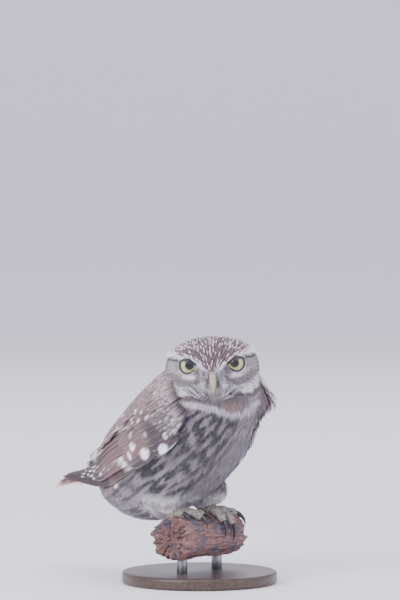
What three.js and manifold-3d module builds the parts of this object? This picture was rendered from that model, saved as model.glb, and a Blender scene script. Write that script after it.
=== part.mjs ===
// Little owl perched on a short cut length of limb, carried by a plain display stand.
// Millimetres, +Z up. The bird heads along -Y, its tail points along +Y, its right side is -X.
// The stand's base lies on z = 0 with its centre at the origin.

import * as THREE from "three";
import Module from "manifold-3d";

const wasm = await Module();
wasm.setup();
const { Manifold, Mesh } = wasm;

const GAP = 0.3;
const RAD = Math.PI / 180;

// Reading of tables and seeded chance

function smoothRow(table, at) {
  // Catmull-Rom reading of rows [position, values...] that are sorted by position
  const last = table.length - 1;
  const t = Math.min(Math.max(at, table[0][0]), table[last][0]);
  let i = 0;
  while (i < last - 1 && t > table[i + 1][0]) i += 1;
  const rows = [table[Math.max(i - 1, 0)], table[i], table[i + 1], table[Math.min(i + 2, last)]];
  const span = rows[2][0] - rows[1][0];
  const u = (t - rows[1][0]) / span;
  return rows[1].slice(1).map((_, k) => {
    const [p0, p1, p2, p3] = rows.map((row) => row[k + 1]);
    const before = rows[1][0] - rows[0][0];
    const after = rows[3][0] - rows[2][0];
    const m1 = before > 0 ? ((p2 - p0) / (before + span)) * span : p2 - p1;
    const m2 = after > 0 ? ((p3 - p1) / (after + span)) * span : p2 - p1;
    const u2 = u * u;
    const u3 = u2 * u;
    return (2 * u3 - 3 * u2 + 1) * p1 + (u3 - 2 * u2 + u) * m1 + (3 * u2 - 2 * u3) * p2 + (u3 - u2) * m2;
  });
}

function chance(seed) {
  let state = seed;
  return () => {
    state = (Math.imul(state, 1664525) + 1013904223) >>> 0;
    return state / 4294967296;
  };
}

function steps(count, from, to) {
  return Array.from({ length: count + 1 }, (_, i) => from + ((to - from) * i) / count);
}

function easedSteps(count, from, to) {
  // Steps that crowd towards both ends, so that rounded ends stay round
  return steps(count, 0, 1).map((t) => from + (to - from) * (0.5 - 0.5 * Math.cos(Math.PI * t)));
}

// Closed surfaces from rings of points

function solidOf(points, faces) {
  const vertProperties = new Float32Array(points.flatMap((p) => [p.x, p.y, p.z]));
  const triVerts = new Uint32Array(faces.flat());
  const solid = new Manifold(new Mesh({ numProp: 3, vertProperties, triVerts }));
  return solid.volume() < 0
    ? new Manifold(new Mesh({ numProp: 3, vertProperties, triVerts: triVerts.reverse() }))
    : solid;
}

function loft(rings) {
  // Rings of equal count joined by quads and closed by a fan at each end
  const n = rings[0].length;
  const points = rings.flat();
  const faces = [];
  for (let i = 0; i + 1 < rings.length; i += 1) {
    for (let j = 0; j < n; j += 1) {
      const a = i * n + j;
      const b = i * n + ((j + 1) % n);
      faces.push([a, b, b + n], [a, b + n, a + n]);
    }
  }
  for (const [start, flip] of [[0, true], [(rings.length - 1) * n, false]]) {
    const hub = points.length;
    const middle = new THREE.Vector3();
    for (let j = 0; j < n; j += 1) middle.add(points[start + j]);
    points.push(middle.divideScalar(n));
    for (let j = 0; j < n; j += 1) {
      const a = start + j;
      const b = start + ((j + 1) % n);
      faces.push(flip ? [b, a, hub] : [a, b, hub]);
    }
  }
  return solidOf(points, faces);
}

function ringBand(rings) {
  // Rings joined round into one closed band, as a lid round an eye
  const m = rings.length;
  const n = rings[0].length;
  const faces = [];
  for (let i = 0; i < m; i += 1) {
    for (let j = 0; j < n; j += 1) {
      const a = i * n + j;
      const b = i * n + ((j + 1) % n);
      const c = ((i + 1) % m) * n + ((j + 1) % n);
      const d = ((i + 1) % m) * n + j;
      faces.push([a, b, c], [a, c, d]);
    }
  }
  return solidOf(rings.flat(), faces);
}

function plate(upper, lower, rows, cols) {
  // Two like nets of (rows + 1) x (cols + 1) points, triangulated alike and closed round the rim
  const faces = [];
  const n = cols + 1;
  const shift = upper.length;
  for (let i = 0; i < rows; i += 1) {
    for (let j = 0; j < cols; j += 1) {
      const a = i * n + j;
      faces.push([a, a + 1, a + n + 1], [a, a + n + 1, a + n]);
      faces.push([shift + a, shift + a + n + 1, shift + a + 1], [shift + a, shift + a + n, shift + a + n + 1]);
    }
  }
  const rim = [];
  for (let j = 0; j < cols; j += 1) rim.push([j + 1, j], [rows * n + j, rows * n + j + 1]);
  for (let i = 0; i < rows; i += 1) rim.push([i * n, (i + 1) * n], [(i + 1) * n + cols, i * n + cols]);
  for (const [a, b] of rim) faces.push([a, b, shift + b], [a, shift + b, shift + a]);
  return solidOf([...upper, ...lower], faces);
}

function tube(path, sides, grow = 0) {
  // Rows of path: { at: Vector3, wide, high }; "wide" lies along side, "high" across it
  const rings = path.map((row, i) => {
    const before = path[Math.max(i - 1, 0)].at;
    const after = path[Math.min(i + 1, path.length - 1)].at;
    const run = after.clone().sub(before).normalize();
    const side = row.side.clone().addScaledVector(run, -row.side.dot(run)).normalize();
    const rise = new THREE.Vector3().crossVectors(run, side);
    return steps(sides - 1, 0, 360 * (1 - 1 / sides)).map((angle) =>
      row.at
        .clone()
        .addScaledVector(side, (row.wide + grow) * Math.cos(angle * RAD))
        .addScaledVector(rise, (row.high + grow) * Math.sin(angle * RAD)),
    );
  });
  const push = (ring, from) => {
    const middle = ring.reduce((sum, p) => sum.add(p), new THREE.Vector3()).divideScalar(ring.length);
    const away = middle.sub(from).normalize();
    ring.forEach((p) => p.addScaledVector(away, grow));
  };
  push(rings[0], path[1].at);
  push(rings[rings.length - 1], path[path.length - 2].at);
  return loft(rings);
}

function ball(centre, radii, axes, around = 16, down = 10) {
  const rings = steps(down - 2, 1, down - 1).map((k) => {
    const polar = (Math.PI * k) / down;
    return steps(around - 1, 0, around - 1).map((j) => {
      const turn = (2 * Math.PI * j) / around;
      return centre
        .clone()
        .addScaledVector(axes[0], radii[0] * Math.sin(polar) * Math.cos(turn))
        .addScaledVector(axes[1], radii[1] * Math.sin(polar) * Math.sin(turn))
        .addScaledVector(axes[2], radii[2] * Math.cos(polar));
    });
  });
  const n = around;
  const points = rings.flat();
  const faces = [];
  for (let i = 0; i + 1 < rings.length; i += 1) {
    for (let j = 0; j < n; j += 1) {
      const a = i * n + j;
      const b = i * n + ((j + 1) % n);
      faces.push([a, b, b + n], [a, b + n, a + n]);
    }
  }
  const poles = [centre.clone().addScaledVector(axes[2], radii[2]), centre.clone().addScaledVector(axes[2], -radii[2])];
  const top = points.push(poles[0]) - 1;
  const low = points.push(poles[1]) - 1;
  const end = (rings.length - 1) * n;
  for (let j = 0; j < n; j += 1) {
    faces.push([(j + 1) % n, j, top], [end + j, end + ((j + 1) % n), low]);
  }
  return solidOf(points, faces);
}

const WORLD_AXES = [new THREE.Vector3(1, 0, 0), new THREE.Vector3(0, 1, 0), new THREE.Vector3(0, 0, 1)];

function largest(solid) {
  return solid.decompose().sort((a, b) => b.volume() - a.volume())[0];
}

// Materials

function finish(colour, roughness) {
  return () => new THREE.MeshStandardMaterial({ color: colour, roughness, metalness: 0 });
}
const FINISH = {
  feather: finish(0x8a7a6c, 0.9),
  flight: finish(0x6f5d4e, 0.85),
  skin: finish(0xa89c84, 0.8),
  horn: finish(0xb3aa8a, 0.4),
  claw: finish(0x3a3431, 0.4),
  eye: finish(0xc9c94f, 0.1),
  bark: finish(0x7d5347, 0.95),
  board: finish(0x3d2c22, 0.5),
  rod: finish(0x8c8f93, 0.3),
};

const owl = new THREE.Group();

function addNode(name, solid, makeFinish) {
  const mesh = largest(solid).getMesh();
  const geometry = new THREE.BufferGeometry();
  geometry.setAttribute("position", new THREE.BufferAttribute(new Float32Array(mesh.vertProperties), 3));
  geometry.setIndex(new THREE.BufferAttribute(new Uint32Array(mesh.triVerts), 1));
  geometry.computeVertexNormals();
  const node = new THREE.Mesh(geometry, makeFinish());
  node.name = name;
  owl.add(node);
}

// Trunk: an egg of feathered body whose axis rises to the front by BODY_PITCH.
// Rows: place along the axis, half width, upper edge and lower edge off the axis.

const BODY_PITCH = 40 * RAD;
const BODY_MIDDLE = { y: 17.5, z: 90.5 };
const TRUNK_GRID = { around: 28, along: 14 };
const TRUNK = [
  [-69, 5, 19, 9],
  [-65, 15, 26, -6],
  [-57, 22, 31, -19],
  [-46, 26.5, 33, -30],
  [-32, 30.5, 35.5, -35],
  [-16, 32.5, 37, -38],
  [0, 33.5, 38.5, -39.5],
  [18, 35, 39.5, -39],
  [34, 35.5, 39.5, -36.5],
  [46, 34, 38.5, -32],
  [57, 30, 35.5, -27],
  [66, 25.5, 31, -21],
  [72, 20, 26, -14],
  [76, 9, 16, -4],
];

function bodyPoint(x, s, off) {
  return new THREE.Vector3(
    x,
    BODY_MIDDLE.y - Math.cos(BODY_PITCH) * s + Math.sin(BODY_PITCH) * off,
    BODY_MIDDLE.z + Math.sin(BODY_PITCH) * s + Math.cos(BODY_PITCH) * off,
  );
}

function trunkForm(grow) {
  const { around, along: stations } = TRUNK_GRID;
  const first = TRUNK[0][0];
  const last = TRUNK[TRUNK.length - 1][0];
  const rings = easedSteps(stations, first, last).map((s) => {
    const [half, upper, lower] = smoothRow(TRUNK, s);
    const centre = (upper + lower) / 2;
    const high = (upper - lower) / 2 + grow;
    const along = s + grow * ((2 * (s - first)) / (last - first) - 1);
    return steps(around - 1, 0, around - 1).map((j) => {
      const turn = (2 * Math.PI * j) / around;
      return bodyPoint((half + grow) * Math.sin(turn), along, centre + high * Math.cos(turn));
    });
  });
  return loft(rings);
}

// Head: broad and flat crowned, turned to the bird's right, with a facial disc.
// In head measures "right" is the viewer's right, "fore" is the way the face looks.

const HEAD = {
  middle: new THREE.Vector3(-2, -12.9, 143.4),
  yaw: 50 * RAD,
  roll: 3 * RAD,
  halfWidth: 32.5,
  crown: 23.5,
  chin: 30,
  front: 26,
  back: 28,
  square: 2.3,
  around: 34,
  down: 18,
  crowd: 0.35,
  blend: 14,
};
const FORE = new THREE.Vector3(-Math.sin(HEAD.yaw), -Math.cos(HEAD.yaw), 0);
const LEVEL = new THREE.Vector3(Math.cos(HEAD.yaw), -Math.sin(HEAD.yaw), 0);
const RIGHT = LEVEL.clone().multiplyScalar(Math.cos(HEAD.roll)).add(new THREE.Vector3(0, 0, Math.sin(HEAD.roll)));
const RISE = new THREE.Vector3(0, 0, Math.cos(HEAD.roll)).addScaledVector(LEVEL, -Math.sin(HEAD.roll));

function headPoint(right, up, fore) {
  return HEAD.middle
    .clone()
    .addScaledVector(RIGHT, right)
    .addScaledVector(RISE, up)
    .addScaledVector(FORE, fore);
}

const EYE = { apart: 15.8, up: 5.3, fore: 14.0, radius: 8.3, openWide: 5.9, openHigh: 5.2 };
const BROW = { inner: [4, 3], outer: [25, 13.5], height: 2.8, spread: 2.6 };
// Swellings and hollows of the face: height, place to the side, place up, spread each way
const SOCKET = [-3.4, EYE.apart, EYE.up - 1, 7.5, 6.5];
const BILL_ROOT = [2.4, 0, -5, 4, 8];
const CHEEK = [2.2, 12, -13, 7, 5];

function swelling(across, up, [height, atAcross, atUp, wide, high]) {
  return height * Math.exp(-(((across - atAcross) / wide) ** 2 + ((up - atUp) / high) ** 2) / 2);
}

function faceRelief(right, up) {
  const r = Math.abs(right);
  const [ix, iy] = BROW.inner;
  const [ox, oy] = BROW.outer;
  const t = Math.min(Math.max(((r - ix) * (ox - ix) + (up - iy) * (oy - iy)) / ((ox - ix) ** 2 + (oy - iy) ** 2), 0), 1);
  const off = Math.hypot(r - ix - t * (ox - ix), up - iy - t * (oy - iy));
  const brow = BROW.height * Math.exp(-((off / BROW.spread) ** 2) / 2);
  return [SOCKET, BILL_ROOT, CHEEK].reduce((sum, form) => sum + swelling(r, up, form), brow);
}

function headForm(grow) {
  const { around, down } = HEAD;
  const rings = steps(down - 2, 1, down - 1).map((k) => {
    const polar = (Math.PI * k) / down;
    return steps(around - 1, 0, around - 1).map((j) => {
      const even = (2 * Math.PI * j) / around;
      const turn = even - HEAD.crowd * Math.sin(even);
      const dir = [Math.sin(polar) * Math.sin(turn), Math.cos(polar), Math.sin(polar) * Math.cos(turn)];
      const size = [
        HEAD.halfWidth,
        dir[1] > 0 ? HEAD.crown : HEAD.chin,
        dir[2] > 0 ? HEAD.front : HEAD.back,
      ];
      const power = dir.reduce((sum, d, i) => sum + Math.abs(d / size[i]) ** HEAD.square, 0);
      const reach = power ** (-1 / HEAD.square) + grow;
      const at = dir.map((d) => d * reach);
      const facing = Math.min(Math.max(at[2] / HEAD.blend, 0), 1);
      return headPoint(at[0], at[1], at[2] + faceRelief(at[0], at[1]) * facing * facing * (3 - 2 * facing));
    });
  });
  return loft(rings);
}

// Thick collar of feathers between the trunk and the head.
// Rows: height, middle to the face's left and forward of the stand's middle, half width, half depth.
const NECK = [
  [100, 2.3, 1.9, 31.5, 30.5],
  [112, 4.5, 4, 39, 34.5],
  [122, 6.8, 5.5, 43, 35],
  [131, 7.8, 6, 38.5, 33],
  [140, 8.6, 8.2, 33.5, 30],
  [148, 8.7, 9.9, 26, 26],
];
const NECK_GRID = { around: 24, up: 8 };

function neckForm(grow) {
  const { around } = NECK_GRID;
  const first = NECK[0][0];
  const last = NECK[NECK.length - 1][0];
  const rings = steps(NECK_GRID.up, 0, 1).map((t) => {
    const [left, fore, wide, deep] = smoothRow(NECK, first + (last - first) * t);
    return steps(around - 1, 0, around - 1).map((j) => {
      const turn = (2 * Math.PI * j) / around;
      const z = first + (last - first) * t + grow * (2 * t - 1);
      return new THREE.Vector3(0, 0, z)
        .addScaledVector(LEVEL, left + (wide + grow) * Math.cos(turn))
        .addScaledVector(FORE, fore - (deep + grow) * Math.sin(turn));
    });
  });
  return loft(rings);
}

const NECK_LOW = { normal: new THREE.Vector3(0, -0.2, 1).normalize(), at: new THREE.Vector3(0, -8, 114) };
const NECK_HIGH = { normal: new THREE.Vector3(-0.22, -0.18, 1).normalize(), at: new THREE.Vector3(-2, -13, 122) };

function above(solid, plane, lift) {
  const n = plane.normal;
  return solid.trimByPlane([n.x, n.y, n.z], plane.at.dot(n) + lift);
}

function below(solid, plane, drop) {
  const n = plane.normal;
  return solid.trimByPlane([-n.x, -n.y, -n.z], -(plane.at.dot(n) - drop));
}

// Wings: a folded wing lies in a bed in the trunk's side, its base surface is the trunk's
// carried on past the rump. Rows: place along the axis, half width, centre and half height.

const WING_BASE = [
  [-90, 12, 40, 4.5],
  [-78, 17, 30, 8.5],
  [-70, 20, 20.5, 14.5],
  [-60, 22.5, 9, 25],
  [-46, 26.5, 1.25, 31.75],
  [-32, 30.5, 0.25, 35.25],
  [-16, 32.5, -0.5, 37.5],
  [0, 33.5, -0.75, 39.25],
  [18, 35, 0.25, 39.25],
  [34, 35.5, 1.5, 38],
  [50, 34.5, 3, 34.5],
];
// Edges of the folded wing as degrees from the middle of the back: upper edge, lower edge
const WING_EDGES = [
  [-60, 13, 82],
  [-46, 9, 89],
  [-20, 8, 98],
  [5, 8, 103],
  [20, 14, 107],
  [33, 36, 109],
  [44, 64, 104],
];
// The wing's arm and skin: place along the axis, depth of its bed in the trunk, height of its top
const WING_CORE = [
  [-60, 1.1, 0.1],
  [-48, 2.6, -1.2],
  [-30, 3, -1.4],
  [-12, 3, 0.2],
  [6, 3, 2],
  [22, 3, 3.2],
  [36, 2.6, 2.6],
  [44, 2, 0.6],
];
const WING = { front: 44, back: -60, rows: 12, cols: 7, edgeDrop: 1.2, bedWiden: 0.025, bedTop: 12 };

function wingPoint(side, s, degrees, height) {
  const [half, centre, high] = smoothRow(WING_BASE, s);
  const turn = degrees * RAD;
  return bodyPoint(side * (half + height) * Math.sin(turn), s, centre + (high + height) * Math.cos(turn));
}

function wingPatch(side, top, bottom, spread = 0) {
  // A curved plate over the wing's outline, with both faces triangulated alike
  const widen = (count, by) => (by > 0 ? [-by, ...steps(count, 0, 1), 1 + by] : steps(count, 0, 1));
  const upper = [];
  const lower = [];
  const reach = WING.front - WING.back;
  const us = widen(WING.rows, spread / reach);
  const vs = widen(WING.cols, spread * WING.bedWiden);
  for (const u of us) {
    const s = WING.back + reach * u;
    const [from, to] = smoothRow(WING_EDGES, s);
    const [bed, core] = smoothRow(WING_CORE, s);
    for (const v of vs) {
      const degrees = from + (to - from) * v;
      upper.push(wingPoint(side, s, degrees, top(core, v)));
      lower.push(wingPoint(side, s, degrees, -bed + bottom));
    }
  }
  return plate(upper, lower, us.length - 1, vs.length - 1);
}

function wingBed(side) {
  return wingPatch(side, () => WING.bedTop, -GAP, GAP);
}

function wingCore(side) {
  return wingPatch(side, (core, v) => core - WING.edgeDrop * (2 * v - 1) ** 4, 0);
}

// Outline of a vane: share of its length, share of its half width, share of its thickness
const LONG_VANE = [
  [0, 0.55, 1],
  [0.36, 0.9, 1],
  [0.7, 1, 1],
  [0.93, 0.7, 0.9],
  [1, 0.28, 0.6],
];
const SHORT_VANE = [
  [0, 0.6, 1],
  [0.38, 0.95, 1],
  [0.7, 1, 1],
  [0.92, 0.72, 0.8],
  [1, 0.3, 0.6],
];

function vane(outline, half, thick, place) {
  // place(share of length, distance off the shaft, height off the vane's middle)
  const upper = [];
  const lower = [];
  for (const [t, wide, deep] of outline) {
    for (const q of [-1, 0, 1]) {
      const off = q * half * wide;
      upper.push(place(t, off, (thick * deep) / 2));
      lower.push(place(t, off, (-thick * deep) / 2));
    }
  }
  return plate(upper, lower, outline.length - 1, 2);
}

// Tiers of the folded wing, outermost feather first. Roots and tips are places along the axis and
// degrees from the middle of the back; lift is the height at root and tip; each feather leans so
// that it lies over the one outside it.
const VANE_THICK = 0.5;
const LIFT_PACE = 1.25;
const TIERS = [
  {
    outline: LONG_VANE,
    half: 4.2,
    lean: 0.19,
    roots: [[-14, 92], [-14, 87], [-11, 82], [-9, 75]],
    tips: [[-86, 60], [-85, 53], [-80, 48], [-73, 46]],
    lift: [[-1.1, -0.1], [-0.75, 0.82], [-0.45, 1.75], [0.2, 2.8]],
  },
  {
    outline: LONG_VANE,
    half: 4.4,
    lean: 0.29,
    roots: [[5, 91], [4, 79], [4, 67], [4, 55], [4, 43], [4, 30]],
    tips: [[-58, 68], [-60, 57], [-61, 46], [-60, 35], [-56, 24], [-50, 13]],
    lift: [[1.7, 5.4], [1.1, 4.95], [0.6, 4.6], [0.1, 5], [-0.3, 5.4], [-0.7, 5.4]],
  },
  {
    outline: SHORT_VANE,
    half: 4.8,
    lean: 0.22,
    roots: [[17, 98], [17, 87], [17, 76], [17, 65], [17, 54]],
    tips: [[-14, 91], [-16, 81], [-17, 71], [-17, 61], [-16, 51]],
    lift: [[1.2, 6], [1.2, 5.8], [1.1, 5.5], [1, 5.2], [0.9, 4.9]],
  },
  {
    outline: SHORT_VANE,
    half: 4.8,
    lean: 0.22,
    roots: [[29, 105], [29, 94.5], [29, 84], [29, 74], [29, 64]],
    tips: [[8, 97], [6, 87], [5, 76], [5, 66], [6, 56]],
    lift: [[1.3, 5.4], [1.6, 5.6], [1.6, 5.6], [1.6, 5.6], [1.6, 5.6]],
  },
  {
    outline: SHORT_VANE,
    half: 4.6,
    lean: 0.33,
    roots: [[22, 43], [21, 34.5], [20, 26], [19, 18]],
    tips: [[-9, 40], [-13, 31], [-17, 22], [-21, 13]],
    lift: [[1, 5.2], [1, 5.2], [1, 5.2], [1, 5.2]],
  },
];

function wingVane(side, tier, k) {
  const [s0, a0] = tier.roots[k];
  const [s1, a1] = tier.tips[k];
  const [low, high] = tier.lift[k];
  return vane(tier.outline, tier.half, VANE_THICK, (t, off, rise) => {
    const s = s0 + (s1 - s0) * t;
    const degrees = a0 + (a1 - a0) * t;
    const [half, , tall] = smoothRow(WING_BASE, s);
    const arm = Math.hypot(half * Math.cos(degrees * RAD), tall * Math.sin(degrees * RAD));
    const run = s1 - s0;
    const turn = (a1 - a0) * RAD * arm;
    const length = Math.hypot(run, turn);
    const lift = low + (high - low) * Math.sin((Math.min(t * LIFT_PACE, 1) * Math.PI) / 2);
    const away = (-off * run) / length / arm / RAD;
    return wingPoint(side, s + (off * turn) / length, degrees + away, lift + rise + tier.lean * off);
  });
}

function wingSolid(side) {
  const vanes = TIERS.flatMap((tier) => tier.roots.map((_, k) => wingVane(side, tier, k)));
  return vanes.reduce((sum, one) => sum.add(one), wingCore(side));
}

// Tail: short, square ended, hanging a little below the level

const TAIL = {
  root: new THREE.Vector3(0, 60, 76),
  tip: new THREE.Vector3(0, 120.5, 61.5),
  padEnd: 0.48,
  padHalf: 10,
  padThick: [10, 6.6],
  arch: 0.022,
  half: 3.8,
  lean: 0.5,
  rows: 4,
  cols: 8,
};
// Tail feathers, the two middle ones on top: offset at root and tip, height, lean, shortening
const RECTRICES = [
  [0.3, 0.6, 3.1, 0, 0],
  [-0.3, -0.6, 2.2, 0, 0.3],
  ...[-1, 1].flatMap((side) =>
    [0, 1, 2, 3, 4].map((k) => [side * (4 + 1.2 * k), side * (4.2 + 2 * k), -0.35 * k, side, 0.6 + 0.45 * k]),
  ),
];

function tailPoint(t, across, height) {
  const at = TAIL.root.clone().lerp(TAIL.tip, t);
  at.x = across;
  at.z += height - TAIL.arch * across * across;
  return at;
}

function rectrix([rootX, tipX, height, side, shorter]) {
  const length = TAIL.tip.y - TAIL.root.y;
  return vane(LONG_VANE, TAIL.half, VANE_THICK, (t, off, rise) => {
    const shaft = rootX + (tipX - rootX) * t;
    return tailPoint(t * (1 - shorter / length), shaft + off, height + rise + TAIL.lean * off * side);
  });
}

function tailSolid() {
  const { rows, cols } = TAIL;
  const upper = [];
  const lower = [];
  for (const t of steps(rows, 0, 1)) {
    const thick = TAIL.padThick[0] + (TAIL.padThick[1] - TAIL.padThick[0]) * t;
    for (const q of steps(cols, -1, 1)) {
      const across = q * TAIL.padHalf;
      upper.push(tailPoint(t * TAIL.padEnd, across, thick / 2));
      lower.push(tailPoint(t * TAIL.padEnd, across, -thick / 2));
    }
  }
  return RECTRICES.reduce((sum, one) => sum.add(rectrix(one)), plate(upper, lower, rows, cols));
}

// Perch: a short cut length of weathered limb, flattened on top, lying across the bird

const PERCH = { z: 31.5, halfDeep: 17, halfHigh: 14, square: 2.5, from: -31, to: 31 };
const BREAK = { around: 24, along: 5, jag: 3, worn: 0.8, seed: 7 };

function perchRim(degrees, grow) {
  // Degrees turn from the top of the limb towards the front of the bird
  const c = Math.cos(degrees * RAD);
  const s = Math.sin(degrees * RAD);
  const power = Math.abs(s / PERCH.halfDeep) ** PERCH.square + Math.abs(c / PERCH.halfHigh) ** PERCH.square;
  const reach = power ** (-1 / PERCH.square) + grow;
  return { y: -reach * s, z: PERCH.z + reach * c };
}

function perchForm(grow) {
  const { around } = BREAK;
  const random = chance(BREAK.seed);
  const rough = steps(around - 1, 0, 1).map(() => random() - 0.5);
  const rings = steps(BREAK.along, 0, 1).map((t) => {
    const end = t === 0 ? -1 : t === 1 ? 1 : 0;
    const x = PERCH.from + (PERCH.to - PERCH.from) * t;
    return steps(around - 1, 0, around - 1).map((j) => {
      const jag = end * BREAK.jag * rough[j];
      const p = perchRim((360 * j) / around, grow - Math.abs(end) * BREAK.worn);
      return new THREE.Vector3(x + jag + end * grow, p.y, p.z);
    });
  });
  return loft(rings);
}

// Legs: feathered thigh, shank lying low because the bird squats, and a foot of four toes
// that follows the limb. Angles go round the limb from its top to the front.

const LEGS = {
  right: {
    thigh: { at: [-15, 20, 57.5], size: [11, 17, 10] },
    heel: [-15, 30, 55],
    ankle: [-13, 8, 49.5],
    toes: [
      { name: "hind", path: [[-13, -22], [-12.5, -52], [-12, -84]], claw: [[-12, -84], [-12, -104], [-11.5, -120]] },
      { name: "inner", path: [[-13, -25], [-8, 4], [-4, 26]], claw: [[-4, 26], [-3, 40], [-3, 52]] },
      { name: "middle", path: [[-13, -25], [-11.5, 12], [-11, 40]], claw: [[-11, 40], [-11, 54], [-11, 66]] },
      { name: "outer", path: [[-13, -22], [-18, -8], [-20.5, 14]], claw: [[-20.5, 14], [-22, 28], [-22, 42]] },
    ],
  },
  left: {
    thigh: { at: [16, 4, 61], size: [10, 14, 11] },
    heel: [16, 22, 56],
    ankle: [14, 0, 50],
    toes: [
      { name: "hind", path: [[14, -5], [14, -40], [14, -72]], claw: [[14, -72], [14, -94], [14, -110]] },
      { name: "inner", path: [[14, -5], [9, 30], [6, 58]], claw: [[6, 58], [5.5, 74], [5.5, 88]] },
      { name: "middle", path: [[14, -5], [14, 34], [14, 66]], claw: [[14, 66], [14, 84], [14, 98]] },
      { name: "outer", path: [[14, -5], [20, 20], [25, 40]], claw: [[25, 40], [27, 56], [27.5, 70]] },
    ],
  },
};
const TOE = { root: 3.3, tip: 2.5, sink: 0.8 };
const CLAW = { root: 1.7, tip: 0.35, rise: 0.6, reach: 0.9, bed: 0.2 };
const SHANK = { top: 5.2, low: 4.2, sag: 2 };
const PAD = { size: [4.8, 5.2, 3.8], clear: 2.6 };

function limbPoint([x, degrees], clear) {
  const p = perchRim(degrees, clear);
  return new THREE.Vector3(x, p.y, p.z);
}

function gripPath(points, count, from, to, clear) {
  const table = points.map(([x, degrees], i) => [i / (points.length - 1), x, degrees]);
  return steps(count, 0, 1).map((t) => {
    const radius = from + (to - from) * t;
    return {
      at: limbPoint(smoothRow(table, t), clear(t, radius)),
      wide: radius,
      high: radius,
      side: WORLD_AXES[0].clone().add(new THREE.Vector3(0, 0.01, 0.3)),
    };
  });
}

function toeForm(toe) {
  return tube(gripPath(toe.path, 4, TOE.root, TOE.tip, (_, r) => r - TOE.sink), 6);
}

function clawForm(toe, grow) {
  const start = TOE.tip - TOE.sink + CLAW.rise;
  const clear = (t, r) => start - (TOE.tip - CLAW.reach) * t * t + r * CLAW.bed;
  return tube(gripPath(toe.claw, 4, CLAW.root, CLAW.tip, clear), 6, grow);
}

function shankForm(leg, grow) {
  const heel = new THREE.Vector3(...leg.heel);
  const ankle = new THREE.Vector3(...leg.ankle);
  const path = steps(5, 0, 1).map((t) => ({
    at: heel.clone().lerp(ankle, t).add(new THREE.Vector3(0, 0, -SHANK.sag * Math.sin(Math.PI * t))),
    wide: SHANK.top + (SHANK.low - SHANK.top) * t,
    high: SHANK.top + (SHANK.low - SHANK.top) * t,
    side: WORLD_AXES[0],
  }));
  return tube(path, 10, grow);
}

function thighForm(leg, grow) {
  return ball(new THREE.Vector3(...leg.thigh.at), leg.thigh.size.map((v) => v + grow), WORLD_AXES, 14, 8);
}

function padForm(leg) {
  const [x, degrees] = leg.toes[1].path[0];
  return ball(limbPoint([x, degrees], PAD.clear), PAD.size, WORLD_AXES, 10, 6);
}

// Eyes, lids and bill

function eyeForm(side, grow) {
  const at = headPoint(side * EYE.apart, EYE.up, EYE.fore);
  const r = EYE.radius + grow;
  return ball(at, [r, r, r], [RIGHT, RISE, FORE], 16, 10);
}

const LID = { around: 16, sides: 6, wide: 1.1, deep: 0.9, drop: 0.3, lift: 0.5 };

function lidForm(side) {
  const { around, sides } = LID;
  const rings = steps(around - 1, 0, around - 1).map((k) => {
    const turn = (2 * Math.PI * k) / around;
    const right = EYE.openWide * Math.cos(turn);
    const up = EYE.openHigh * Math.sin(turn) - LID.drop;
    const fore = Math.sqrt((EYE.radius + LID.lift) ** 2 - right ** 2 - up ** 2);
    const out = new THREE.Vector3(right, up, 0).normalize();
    return steps(sides - 1, 0, sides - 1).map((j) => {
      const angle = (2 * Math.PI * j) / sides;
      const wide = LID.wide * Math.cos(angle);
      const deep = LID.deep * Math.sin(angle);
      return headPoint(
        side * EYE.apart + right + out.x * wide,
        EYE.up + up + out.y * wide,
        EYE.fore + fore + deep,
      );
    });
  });
  return ringBand(rings);
}

// Rows: up, fore, half width, half depth
const UPPER_BILL = [
  [0, -1, 19, 2.9, 3.6],
  [0.25, -1.4, 25.5, 2.9, 3.7],
  [0.5, -3.9, 28.4, 2.8, 3.5],
  [0.7, -7.3, 29.8, 2.4, 3],
  [0.88, -11, 29.4, 1.6, 2],
  [1, -14.1, 27.6, 0.4, 0.5],
];
const LOWER_BILL = [
  [0, -8, 19, 2.3, 2],
  [0.4, -9.1, 24, 2.2, 1.9],
  [0.75, -10.8, 25.8, 1.7, 1.4],
  [1, -12.2, 26.5, 0.5, 0.5],
];

function billForm(rows, count, grow = 0) {
  const path = steps(count, 0, 1).map((t) => {
    const [up, fore, wide, high] = smoothRow(rows, t);
    return { at: headPoint(0, up, fore), wide, high, side: RIGHT };
  });
  return tube(path, 8, grow);
}

const NOSTRIL = { apart: 2.7, up: -2.8, fore: 27.4, size: [0.8, 0.9, 1] };

function nostrilForm(side) {
  const at = headPoint(side * NOSTRIL.apart, NOSTRIL.up, NOSTRIL.fore);
  return ball(at, NOSTRIL.size, [RIGHT, RISE, FORE], 8, 6);
}

// Stand: round board with two rods up into the limb

const BOARD = { radius: 52, high: 8, round: 2 };
const ROD = { x: 18, radius: 3.5, foot: 4, depth: 6 };

function turned(rows, around) {
  return loft(
    rows.map(([radius, z]) =>
      steps(around - 1, 0, around - 1).map((j) => {
        const turn = (2 * Math.PI * j) / around;
        return new THREE.Vector3(radius * Math.cos(turn), radius * Math.sin(turn), z);
      }),
    ),
  );
}

function rodForm(side, grow) {
  const top = PERCH.z - PERCH.halfHigh + ROD.depth + grow;
  const radius = ROD.radius + grow;
  return turned([[radius, ROD.foot - grow], [radius, top]], 20).translate([side * ROD.x, 0, 0]);
}

// Putting together

const flesh = (grow) => trunkForm(grow).add(headForm(grow)).add(neckForm(grow));
const legs = Object.entries(LEGS);
let trunk = below(flesh(0), NECK_LOW, GAP / 2);
for (const side of [-1, 1]) trunk = trunk.subtract(wingBed(side));
for (const [, leg] of legs) trunk = trunk.subtract(thighForm(leg, GAP)).subtract(shankForm(leg, GAP));
addNode("torso", trunk, FINISH.feather);

let neck = below(above(flesh(0), NECK_LOW, GAP / 2), NECK_HIGH, GAP / 2);
for (const side of [-1, 1]) neck = neck.subtract(wingBed(side));
addNode("neck", neck, FINISH.feather);

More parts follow.
